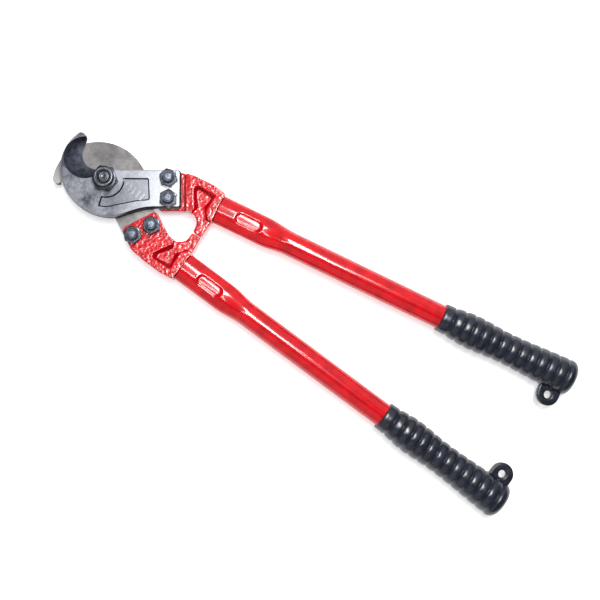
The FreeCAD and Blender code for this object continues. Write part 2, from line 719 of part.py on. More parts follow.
def fixed_plane(feature, body, height, turn=0.0):
    """Attach a feature to the body's XY plane at a height and an angle."""
    plane = [f for f in body.Origin.OriginFeatures if f.Role == "XY_Plane"][0]
    feature.AttachmentOffset = FreeCAD.Placement(FreeCAD.Vector(0, 0, height), FreeCAD.Rotation(Z_AXIS, turn))
    feature.AttachmentSupport = (plane, [""])
    feature.MapMode = "FlatFace"


def hexagon(body, label, apothem, height, start, turn=0.0):
    """Six-sided prism; apothem is the expression of half its width across flats."""
    prism = body.newObject("PartDesign::AdditivePrism", label)
    prism.Polygon = 6
    bind(prism, Circumradius="(%s) / cos(30)" % apothem, Height="Sizes." + height)
    fixed_plane(prism, body, start, turn)
    doc.recompute()


def turned(body, label, corners):
    """Solid of revolution about Z of corners (radius, height, rounding)."""
    section = sketch(body, label + "_section", rounded(corners), plane="XZ_Plane")
    feature = body.newObject("PartDesign::Revolution", label)
    feature.Profile = section
    feature.ReferenceAxis = (section, ["V_Axis"])
    feature.Angle = 360
    doc.recompute()


def screw(label, shank, thread, head_wall, head, seat, shoulder, end, tip, at):
    """Hex bolt with its head down; shank and thread are names of sizes, tip that of its turned end."""
    body = new_body(label + "_body")
    radius, narrow, slope = V[shank], V[thread], V[tip]
    corners = [(0, seat), (radius, seat), (radius, shoulder), (narrow, shoulder),
               (narrow, end - slope), (narrow - slope, end), (0, end)]
    if narrow == radius:
        corners = [c for c in corners if c[1] != shoulder]
    turned(body, label + "_shank", [(x, y, 0) for x, y in corners])
    hexagon(body, label + "_head", "Sizes.%s + Sizes.%s" % (shank, head_wall), head, seat - V[head])
    return node(body, label, True, 0, at)


def lock_nut(label, thread, wall, hexagon_height, height, collar_wall, ring_width, start, at, turn):
    """Lock nut: a hexagon with a round collar that holds a plastic ring."""
    body = new_body(label + "_body")
    radius = V[thread]
    hexagon(body, label + "_hexagon", "Sizes.%s + Sizes.%s" % (thread, wall), hexagon_height, start, turn)
    top = start + V[height]
    outer = radius + V[collar_wall]
    inner = radius + V[ring_width]
    floor = top - V["lock_height"]
    overlap = start + V[hexagon_height] - 1.0
    turned(body, label + "_collar", [
        (radius, overlap, 0),
        (outer, overlap, 0),
        (outer, top, 0.8 * (outer - inner)),
        (inner, top, 0),
        (inner, floor, 0),
        (radius, floor, 0),
    ])
    bore = circles(body, label + "_bore_ring", [(0, 0, "Sizes." + thread, radius)])
    pocket(body, label + "_bore", bore)
    return node(body, label, True, 0, at)


def ring(label, inner, outer, low, high, at=(0, 0, 0)):
    """Flat ring between two heights."""
    body = new_body(label + "_body")
    turned(body, label + "_turned", [(inner, low, 0), (outer, low, 0), (outer, high, 0), (inner, high, 0)])
    return node(body, label, True, 0, at)


# ---------------------------------------------------------------- assembly

blade("front_blade", True, "Sizes.pivot_radius + Sizes.pivot_clearance")
blade("rear_blade", False, "Sizes.pivot_radius")
for half, upper in (("upper", True), ("lower", False)):
    casting(half + "_casting", upper)
    tube(half + "_tube", upper)
    grip(half + "_grip", upper)

face = V["blade_thickness"]
washer_low = -face - V["washer_thickness"]
nut_seat = face + V["pivot_nut_play"]
nut_top = nut_seat + V["pivot_nut_height"]
ring("pivot_washer", V["pivot_radius"], V["pivot_radius"] + V["washer_land"], washer_low, -face)
screw("pivot_bolt", "pivot_radius", "pivot_thread", "pivot_head_wall", "pivot_head_height", washer_low,
      nut_seat, nut_top + V["pivot_bolt_past"], "pivot_bolt_tip", (0, 0, 0))
lock_nut("pivot_nut", "pivot_thread", "pivot_nut_wall", "pivot_nut_hex", "pivot_nut_height",
         "pivot_collar_wall", "pivot_lock_ring_width", nut_seat, (0, 0, 0), V["pivot_nut_turn"])
ring("pivot_lock_ring", V["pivot_thread"], V["pivot_thread"] + V["pivot_lock_ring_width"],
     nut_top - V["lock_height"], nut_top - V["lock_sink"])

# A bolt's head is under the lap in the upper half and under the blade in the lower one.
lap = V["casting_half"]
for half, side, under, over in (("upper", 1, lap, face), ("lower", -1, face, lap)):
    nut_top = over + V["nut_height"]
    for place, y in zip(("outer", "inner"), bolt_ys):
        x, up = to_upper(bolt_x, y, V["tang_angle"])
        at = (x, side * up, 0)
        name = half + "_" + place
        screw(name + "_bolt", "bolt_radius", "bolt_radius", "nut_wall", "head_height", -under,
              over, nut_top + V["bolt_past"], "bolt_tip", at)
        lock_nut(name + "_nut", "bolt_radius", "nut_wall", "nut_hex", "nut_height", "nut_collar_wall",
                 "lock_ring_width", over, at, V[name + "_turn"])
        ring(name + "_lock_ring", V["bolt_radius"], V["bolt_radius"] + V["lock_ring_width"],
             nut_top - V["lock_height"], nut_top - V["lock_sink"], at)


# ---------------------------------------------------------------- checks and files

doc.recompute()
for obj in doc.Objects:
    if "Invalid" in obj.State or "Error" in obj.State:
        raise RuntimeError("%s is %s" % (obj.Label, obj.State))
for obj in nodes:
    shape = obj.Shape
    if shape.isNull() or not shape.isValid() or len(shape.Solids) != 1:
        raise RuntimeError("%s: null, invalid or %d solids" % (obj.Label, len(shape.Solids)))

os.makedirs("parts", exist_ok=True)
for obj in nodes:
    obj.Shape.exportStep("parts/%s.step" % obj.Label)
box = Part.makeCompound([obj.Shape for obj in nodes]).optimalBoundingBox()
print("nodes", len(nodes))
for axis, low, high in (("X", box.XMin, box.XMax), ("Y", box.YMin, box.YMax), ("Z", box.ZMin, box.ZMax)):
    print("%s %.2f to %.2f mm" % (axis, low, high))
print("pivot_x %.3f bench_height %.3f" % (pivot_x, bench_height))
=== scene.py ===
"""Long-arm hook-blade cutters: detailed pieces, finishes, light and camera around the CAD frame.

Lengths in the classes are millimetres in the frame of the tool's upper half: the pivot axis is Z at
X = Y = 0, +X runs from the jaws to the grips and +Y to the upper handle.  A finished piece is scaled
to metres and moved to its place before anything else is done with it.
"""

import enum
import json
import logging
import math
from dataclasses import dataclass, field
from typing import Any, Callable, Iterable, Sequence

import bpy
from mathutils import Matrix, Vector


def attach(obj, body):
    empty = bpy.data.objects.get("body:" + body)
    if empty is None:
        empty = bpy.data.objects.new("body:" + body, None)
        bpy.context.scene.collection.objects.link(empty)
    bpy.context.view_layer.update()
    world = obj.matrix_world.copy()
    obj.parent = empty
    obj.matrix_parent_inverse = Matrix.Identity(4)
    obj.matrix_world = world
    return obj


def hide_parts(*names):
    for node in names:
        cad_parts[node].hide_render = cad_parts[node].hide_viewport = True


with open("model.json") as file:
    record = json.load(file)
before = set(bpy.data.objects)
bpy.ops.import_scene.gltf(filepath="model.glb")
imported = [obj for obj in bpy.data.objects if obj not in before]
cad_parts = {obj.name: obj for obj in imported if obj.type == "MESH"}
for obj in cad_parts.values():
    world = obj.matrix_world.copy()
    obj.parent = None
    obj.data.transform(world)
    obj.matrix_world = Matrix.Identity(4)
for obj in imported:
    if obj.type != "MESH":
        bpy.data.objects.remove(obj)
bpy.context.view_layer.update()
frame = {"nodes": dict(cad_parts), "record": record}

log = logging.getLogger("cutters")
MM = 0.001
PIVOT = Vector(frame["record"]["behaviour"]["joints"][0]["pos_m"])
LEVEL = Matrix.Translation(PIVOT) @ Matrix.Scale(MM, 4)      # tool's frame, millimetres to metres

TANG_ANGLE = 31.1                             # degrees from X to a blade's tang
BOLT_X = 50.2                                 # blade bolts, along the tang
BOLT_YS = {"outer": 1.25, "inner": -15.55}    # and across it
BOLT_RADIUS = 4.0
SOCKET = (88.81, 27.30)                       # where the tube meets the casting
HANDLE_LEAN = 5.4                             # degrees from X to the handle

Point = tuple[float, float]
Colour = tuple[float, float, float]
Corner = tuple[float, float, float]      # X, Y and the radius of its rounding


class Half(enum.Enum):
    """The two halves of the tool, which are also its two bodies."""

    UPPER = "upper"
    LOWER = "lower"

    @property
    def body(self) -> str:
        """Name of the CAD body that the half's pieces ride on."""
        return self.value + "_half"

    @property
    def side(self) -> int:
        """1 for the upper half and -1 for the lower, which is the same half turned over."""
        return 1 if self is Half.UPPER else -1

    @property
    def place(self) -> Matrix:
        """Matrix from the upper half's frame in millimetres to this half's place in metres."""
        return LEVEL @ Matrix.Diagonal((1, self.side, self.side, 1))


def on_tang(x: float, y: float) -> Point:
    """Point of the tang's own frame, in the tool's frame.

    Args:
        x: along the tang.
        y: across it.

    Returns:
        The point.
    """
    a = math.radians(TANG_ANGLE)
    return (x * math.cos(a) - y * math.sin(a), x * math.sin(a) + y * math.cos(a))


def handle_axis() -> Matrix:
    """Frame of the handle.

    Returns:
        The matrix from Z along the handle to the tool's frame; the tool's Z is the handle's -X.
    """
    stand = Matrix(((0, 0, 1, 0), (0, 1, 0, 0), (-1, 0, 0, 0), (0, 0, 0, 1)))
    lean = Matrix.Rotation(math.radians(HANDLE_LEAN), 4, "Z")
    return Matrix.Translation((*SOCKET, 0)) @ lean @ stand


# ---------------------------------------------------------------- shader expressions

class Socket:
    """An output socket of a node tree, on which arithmetic makes Math nodes."""

    def __init__(self, graph: "Graph", socket: Any) -> None:
        """Wrap a socket.

        Args:
            graph: the graph the socket belongs to.
            socket: the output socket itself.
        """
        self.graph = graph
        self.socket = socket

    def _math(self, operation: str, *values: Any, clamp: bool = False) -> "Socket":
        """Math node on this socket's graph."""
        settings = {"operation": operation, "use_clamp": clamp}
        return self.graph.node("ShaderNodeMath", settings, dict(enumerate(values)))

    def __add__(self, other: Any) -> "Socket":
        """Sum."""
        return self._math("ADD", self, other)

    __radd__ = __add__

    def __sub__(self, other: Any) -> "Socket":
        """Difference."""
        return self._math("SUBTRACT", self, other)

    def __rsub__(self, other: Any) -> "Socket":
        """Reflected difference."""
        return self._math("SUBTRACT", other, self)

    def __mul__(self, other: Any) -> "Socket":
        """Product."""
        return self._math("MULTIPLY", self, other)

    __rmul__ = __mul__

    def clamp(self) -> "Socket":
        """The value held between 0 and 1."""
        return self._math("ADD", self, 0.0, clamp=True)

    def size(self) -> "Socket":
        """Absolute value."""
        return self._math("ABSOLUTE", self)

    def step(self, low: float, high: float) -> "Socket":
        """Smooth step from 0 at low to 1 at high.

        Args:
            low: value that gives 0.
            high: value that gives 1.

        Returns:
            The stepped value.
        """
        settings = {"interpolation_type": "SMOOTHSTEP"}
        inputs = {"Value": self, "From Min": low, "From Max": high, "To Min": 0.0, "To Max": 1.0}
        return self.graph.node("ShaderNodeMapRange", settings, inputs)


class Graph:
    """A material's node tree, written as expressions."""

    def __init__(self, name: str) -> None:
        """Start a material with an empty tree.

        Args:
            name: the material's name.
        """
        self.material = bpy.data.materials.new(name)
        self.material.use_nodes = True
        self.tree = self.material.node_tree
        self.tree.nodes.clear()

    def node(self, kind: str, settings: dict[str, Any] | None = None,
             inputs: dict[Any, Any] | None = None, output: Any = 0) -> Socket:
        """Add any node.

        Args:
            kind: the node's type.
            settings: its settings.
            inputs: values or sockets by the input's name or number.
            output: name or number of the output that is returned.

        Returns:
            The chosen output.
        """
        made = self.tree.nodes.new(kind)
        for key, value in (settings or {}).items():
            setattr(made, key, value)
        for key, value in (inputs or {}).items():
            if isinstance(value, Socket):
                self.tree.links.new(value.socket, made.inputs[key])
            elif value is not None:
                made.inputs[key].default_value = value
        return Socket(self, made.outputs[output])

    def place(self, scale: Sequence[float] = (1, 1, 1), turn: float = 0.0,
              centre: Sequence[float] = (0, 0, 0)) -> Socket:
        """Object coordinates in millimetres about a centre, turned about Z and stretched.

        Args:
            scale: stretch of the pattern along each turned axis.
            turn: degrees about Z.
            centre: centre in metres.

        Returns:
            The vector.
        """
        where = self.node("ShaderNodeTexCoord", output="Object")
        moved = self.node("ShaderNodeVectorMath", {"operation": "SUBTRACT"}, {0: where, 1: tuple(centre)})
        turned = self.node("ShaderNodeVectorRotate", {"rotation_type": "Z_AXIS"},
                           {"Vector": moved, "Angle": math.radians(turn)})
        factors = tuple(s / MM for s in scale)
        return self.node("ShaderNodeVectorMath", {"operation": "MULTIPLY"}, {0: turned, 1: factors})

    def noise(self, vector: Socket, scale: float, detail: float = 3.0, rough: float = 0.5) -> Socket:
        """Noise of a given frequency per millimetre, about 0 to 1.

        Args:
            vector: where it is read.
            scale: waves per millimetre.
            detail: octaves.
            rough: weight of the finer octaves.

        Returns:
            The value.
        """
        return self.node("ShaderNodeTexNoise", {}, {
            "Vector": vector, "Scale": scale, "Detail": detail, "Roughness": rough})

    def split(self, vector: Socket) -> tuple[Socket, Socket, Socket]:
        """Take a vector apart.

        Args:
            vector: the vector.

        Returns:
            Its three parts.
        """
        first = self.node("ShaderNodeSeparateXYZ", {}, {0: vector})
        made = first.socket.node
        return first, Socket(self, made.outputs[1]), Socket(self, made.outputs[2])

    def distance(self, vector: Socket, point: Sequence[float]) -> Socket:
        """Distance of a vector from a point."""
        return self.node("ShaderNodeVectorMath", {"operation": "DISTANCE"},
                         {0: vector, 1: tuple(point)}, output="Value")

    def mix(self, share: Any, low: Any, high: Any) -> Socket:
        """Mix of two colours.

        Args:
            share: 0 gives low and 1 gives high.
            low: colour or socket.
            high: colour or socket.

        Returns:
            The mixed colour.
        """
        full = [(*c, 1.0) if isinstance(c, tuple) and len(c) == 3 else c for c in (low, high)]
        inputs = {0: share, 6: full[0], 7: full[1]}
        return self.node("ShaderNodeMix", {"data_type": "RGBA"}, inputs, output=2)

    def bump(self, height: Socket, depth: float, under: Socket | None = None) -> Socket:
        """Bump of a height in millimetres.

        Args:
            height: value of about 0 to 1.
            depth: millimetres from 0 to 1.
            under: normal that it adds to.

        Returns:
            The normal.
        """
        return self.node("ShaderNodeBump", {}, {
            "Strength": 1.0, "Distance": depth * MM, "Height": height, "Normal": under})

    def surface(self, **inputs: Any) -> bpy.types.Material:
        """Finish the material with one principled shader.

        Args:
            inputs: its sockets, with underscores for spaces.

        Returns:
            The material.
        """
        named = {key.replace("_", " "): value for key, value in inputs.items()}
        for key, value in named.items():
            if isinstance(value, tuple) and len(value) == 3:
                named[key] = (*value, 1.0)
        shader = self.node("ShaderNodeBsdfPrincipled", {}, named)
        out = self.tree.nodes.new("ShaderNodeOutputMaterial")
        self.tree.links.new(shader.socket, out.inputs["Surface"])
        return self.material


# ---------------------------------------------------------------- finishes

@dataclass(frozen=True)
class BladeSteel:
    """Forged and surface-ground steel, with a dark hollow grind and dark sides."""

    half: Half
    face: Colour = (0.35, 0.36, 0.39)
    cloud: Colour = (0.055, 0.058, 0.075)
    warm: Colour = (0.21, 0.20, 0.20)
    warm_shade: Colour = (0.075, 0.070, 0.072)
    grind: Colour = (0.022, 0.025, 0.036)
    grind_light: Colour = (0.065, 0.073, 0.10)
    side: Colour = (0.012, 0.013, 0.018)
    # Chamfer colours: a painted highlight, and a painted shade for the tang's end and lower edge.
    chamfer_painted_highlight: Colour = (0.52, 0.54, 0.58)
    chamfer_painted_shade: Colour = (0.03, 0.032, 0.04)
    chamfer_line: Colour = (0.05, 0.052, 0.065)
    panel_floor: Colour = (0.12, 0.125, 0.14)
    lighter_tip: Colour = (0.42, 0.415, 0.41)
    grind_centre: Point = (-16.7, 17.7)
    grind_radius: float = 17.7
    thickness: float = 8.0
    panel_depth: float = 1.0
    panel_left: float = -9.0
    panel_right: float = 37.2
    panel_top: float = 6.5
    panel_low: float = -20.9
    panel_round: float = 24.6
    boss_radius: float = 12.8

    def panel_zone(self, g: Graph, own: Socket) -> Socket:
        """Part of the face that holds the sunk panel, clear of the blade's outer edges.

        Args:
            g: the material's graph.
            own: place in the blade's own frame.

        Returns:
            1 in the zone and 0 outside it.
        """
        x, y, _ = g.split(own)
        far = g.distance(own, (0.0, 0.0, 0.0))
        right = 1.0 - x.step(self.panel_right - 0.6, self.panel_right)
        along = x.step(self.panel_left, self.panel_left + 1.0) * right
        under = 1.0 - y.step(self.panel_top - 0.5, self.panel_top)
        near = 1.0 - far.step(self.panel_round - 0.6, self.panel_round)
        over = (y.step(self.panel_low, self.panel_low + 0.5) + near).clamp()
        return along * under * over * far.step(self.boss_radius, self.boss_radius + 0.4)

    def material(self) -> bpy.types.Material:
        """Build the material.

        Returns:
            The blade's material.
        """
        side = float(self.half.side)
        g = Graph("blade_steel_" + self.half.value)
        flat = g.place(turn=-TANG_ANGLE * side, centre=PIVOT)
        grain = g.place(scale=(2.2, 0.35, 1.0), turn=-TANG_ANGLE * side, centre=PIVOT)
        own = g.node("ShaderNodeVectorMath", {"operation": "MULTIPLY"}, {0: flat, 1: (1.0, side, 0.0)})
        x, y, _ = g.split(own)
        up = g.split(g.node("ShaderNodeTexCoord", output="Normal"))[2].size()
        outward = g.split(flat)[2] * side

        # Where the surface is: hollow grind, sunk panel and its wall, chamfers, inner face, sides.
        middle = g.distance(own, (*self.grind_centre, 0.0))
        ground = 1.0 - middle.step(self.grind_radius - 0.6, self.grind_radius)
        face = outward.step(self.thickness - 0.12, self.thickness - 0.03)
        hollow = ground * (1.0 - face) * outward.step(0.15, 0.4)
        level = 1.0 - (outward - (self.thickness - self.panel_depth)).size().step(0.03, 0.12)
        sunk = level * up.step(0.9, 0.99) * (1.0 - ground)
        zone = self.panel_zone(g, own) * (1.0 - ground)
        slope = outward.step(self.thickness - 0.97, self.thickness - 0.88) * (
            1.0 - outward.step(self.thickness - 0.10, self.thickness - 0.03))
        wall = zone * slope * (1.0 - up.step(0.985, 0.998))
        rim = (1.0 - ground) * (1.0 - zone)
        lean = slope * rim
        line = outward.step(self.thickness - 0.22, self.thickness - 0.14) * (1.0 - face) * rim
        upright = 1.0 - up.step(0.05, 0.35)
        inside = 1.0 - outward.step(0.1, 0.3)
        # The tang's end and lower edge, whose chamfers get painted shade.
        foot = (x.step(56.0, 58.0) + (1.0 - y.step(-3.0, 2.0)) * x.step(6.0, 20.0)).clamp()

        # What the steel is like there; the hook and the chamfers carry painted light and shade.
        fine = g.noise(grain, 1.1, 4.0, 0.65)
        broad = g.noise(flat, 0.050, 3.0, 0.55)
        mottle = g.noise(flat, 0.26, 5.0, 0.62)
        clouds = (broad.step(0.38, 0.64) * 0.6 + mottle.step(0.35, 0.72) * 0.4).clamp()
        # Painted shade: the hook is mixed towards the dark cloud colour, standing in for its weaker reflection
        # than the tang's; the clouds and grain are the steel's own tone.
        hook = 1.0 - x.step(-16.0, 46.0)
        shade = (hook * (0.46 + clouds * 0.62) + clouds * 0.14 + (fine - 0.5) * 0.75).clamp()
        colour = g.mix(shade, self.face, self.cloud)
        warm = g.mix((clouds * 0.7 + (fine - 0.5) * 0.9 + 0.12).clamp(), self.warm, self.warm_shade)
        # The inner face turns lighter towards the hook's tip.
        colour = g.mix(inside, colour, g.mix(y.step(26.0, 35.0) * 0.7, warm, self.lighter_tip))
        colour = g.mix(sunk * (0.35 + fine * 0.3), colour, self.panel_floor)
        deep = g.mix(mottle.step(0.32, 0.72), self.grind, self.grind_light)
        colour = g.mix(hollow, colour, deep)
        # Painted highlight on the hook's chamfers and painted shade on the chamfers of the tang's end and
        # lower edge.
        chamfer_painted_light = g.mix(foot, self.chamfer_painted_highlight, self.chamfer_painted_shade)
        colour = g.mix((lean * (0.25 + mottle * 0.4 + foot * 0.6)).clamp(), colour, chamfer_painted_light)
        colour = g.mix(line * 0.75, colour, self.chamfer_line)
        colour = g.mix((upright * (1.0 - hollow) + wall).clamp(), colour, self.side)
        rough = (0.40 + (fine - 0.5) * 0.28 + hollow * 0.10 + shade * 0.12).clamp()
        relief = g.bump(fine, 0.05, g.bump(mottle, 0.08))
        return g.surface(Base_Color=colour, Metallic=0.72, Roughness=rough, Normal=relief)


@dataclass(frozen=True)
class RedPaint:
    """Gloss red paint, over a rough casting or a smooth tube.

    wall is how strongly painted shade darkens the paint on the casting's recess walls and in its crevice.
    """

    name: str
    red: Colour = (0.66, 0.0010, 0.008)
    shade: Colour = (0.47, 0.0006, 0.005)
    # Colour of the painted shade on the casting's recess walls.
    deep: Colour = (0.24, 0.0006, 0.006)
    # Colour of the painted shade in the crevice.
    crevice_painted_shade: Colour = (0.03, 0.0005, 0.002)
    wall: float = 0.0
    web_face: float = 4.6
    crevice: Point = (61.7, 64.2)
    grit: float = 0.0
    gloss: float = 0.16

    def material(self) -> bpy.types.Material:
        """Build the material.

        Returns:
            The paint.
        """
        g = Graph(self.name)
        where = g.place()
        peel = g.noise(where, 0.55, 2.0, 0.45)
        grain = g.noise(where, 1.6, 3.0, 0.6)
        cloud = g.noise(where, 0.12, 3.0, 0.5)
        colour = g.mix(cloud.step(0.35, 0.7), self.red, self.shade)
        x, y, z = g.split(g.place(centre=PIVOT))
        height = z.size()
        above = height - self.web_face
        # Painted shade: the recess walls, just above the web's face, are darkened towards the deep colour.
        colour = g.mix(above.step(0.15, 0.6) * (1.0 - above.step(2.3, 2.9)) * self.wall, colour, self.deep)
        # Painted shade: a near-black strip in the crevice where the lap meets the body.
        tang = math.radians(TANG_ANGLE)
        along = x * math.cos(tang) + y.size() * math.sin(tang)
        near, far = self.crevice
        strip = along.step(near, near + 0.7) * (1.0 - along.step(far - 0.8, far))
        crevice = strip * (1.0 - height.step(1.0, 4.0))
        colour = g.mix(crevice * self.wall, colour, self.crevice_painted_shade)
        relief = g.bump(peel, 0.02 + 0.16 * self.grit, g.bump(grain, 0.003 + 0.04 * self.grit))
        rough = (self.gloss + 0.14 + (grain - 0.5) * (0.06 + self.grit * 0.2)).clamp()
        return g.surface(Base_Color=colour, Metallic=0.0, Roughness=rough, Normal=relief,
                         Coat_Weight=0.6, Coat_Roughness=self.gloss, Specular_IOR_Level=0.18)


@dataclass(frozen=True)
class GripVinyl:
    """Black dipped vinyl with a soft gloss and fine moulding marks."""

    black: Colour = (0.007, 0.009, 0.016)
    lighter_tone: Colour = (0.012, 0.017, 0.034)

    def material(self) -> bpy.types.Material:
        """Build the material.

        Returns:
            The vinyl.
        """
        g = Graph("grip_vinyl")
        where = g.place()
        cloud = g.noise(where, 0.18, 3.0, 0.55)
        fine = g.noise(where, 2.4, 3.0, 0.6)
        colour = g.mix(cloud.step(0.3, 0.75), self.black, self.lighter_tone)
        rough = (0.27 + (cloud - 0.5) * 0.18 + (fine - 0.5) * 0.10).clamp()
        return g.surface(Base_Color=colour, Metallic=0.0, Roughness=rough,
                         Normal=g.bump(fine, 0.012, g.bump(cloud, 0.10)), Specular_IOR_Level=0.6)


@dataclass(frozen=True)
class DarkSteel:
    """Oxide-blackened steel, or a lighter steel for bare bolt ends and painted highlights."""

    name: str
    dark: Colour = (0.030, 0.034, 0.046)
    light: Colour = (0.075, 0.082, 0.105)
    rough: float = 0.30
    metallic: float = 0.75

    def material(self) -> bpy.types.Material:
        """Build the material.

        Returns:
            The steel.
        """
        g = Graph(self.name)
        where = g.place()
        cloud = g.noise(where, 0.45, 4.0, 0.6)
        fine = g.noise(where, 3.0, 3.0, 0.6)
        colour = g.mix(cloud.step(0.35, 0.72), self.dark, self.light)
        rough = (self.rough + (cloud - 0.5) * 0.22 + (fine - 0.5) * 0.12).clamp()
        return g.surface(Base_Color=colour, Metallic=self.metallic, Roughness=rough,
                         Normal=g.bump(fine, 0.010, g.bump(cloud, 0.03)))


@dataclass(frozen=True)
class Nylon:
    """Dark nylon of the lock rings."""

    dark: Colour = (0.010, 0.010, 0.012)
    light: Colour = (0.024, 0.022, 0.022)

    def material(self) -> bpy.types.Material:
        """Build the material.

        Returns:
            The nylon.
        """
        g = Graph("nylon")
        where = g.place()
        cloud = g.noise(where, 0.8, 3.0, 0.6)
        colour = g.mix(cloud.step(0.3, 0.7), self.dark, self.light)
        return g.surface(Base_Color=colour, Roughness=(0.42 + (cloud - 0.5) * 0.2).clamp(),
                         Normal=g.bump(cloud, 0.02))


class Finishes:
    """Every finish, made once."""

    def __init__(self) -> None:
        """Make the materials."""
        self.blades = {half: BladeSteel(half).material() for half in Half}
        self.casting = RedPaint("casting_paint", grit=0.6, gloss=0.15, wall=0.85).material()
        self.tube = RedPaint("tube_paint", gloss=0.07).material()
        self.grip = GripVinyl().material()
        self.oxide = DarkSteel("oxide_steel").material()
        # Lighter steel that paints the highlights on the nuts' rims and hexagon tops.
        self.bright = DarkSteel("painted_highlight_steel", dark=(0.14, 0.155, 0.19), light=(0.30, 0.33, 0.40),
                                rough=0.34, metallic=0.85).material()
        self.stub = DarkSteel("bolt_end_steel", dark=(0.07, 0.082, 0.11), light=(0.16, 0.185, 0.235),
                              rough=0.36, metallic=0.8).material()
        self.brown = DarkSteel("worn_thread_steel", dark=(0.030, 0.027, 0.028), light=(0.085, 0.075, 0.07),
                               rough=0.35, metallic=0.7).material()
        self.nylon = Nylon().material()


# ---------------------------------------------------------------- modelling by operators

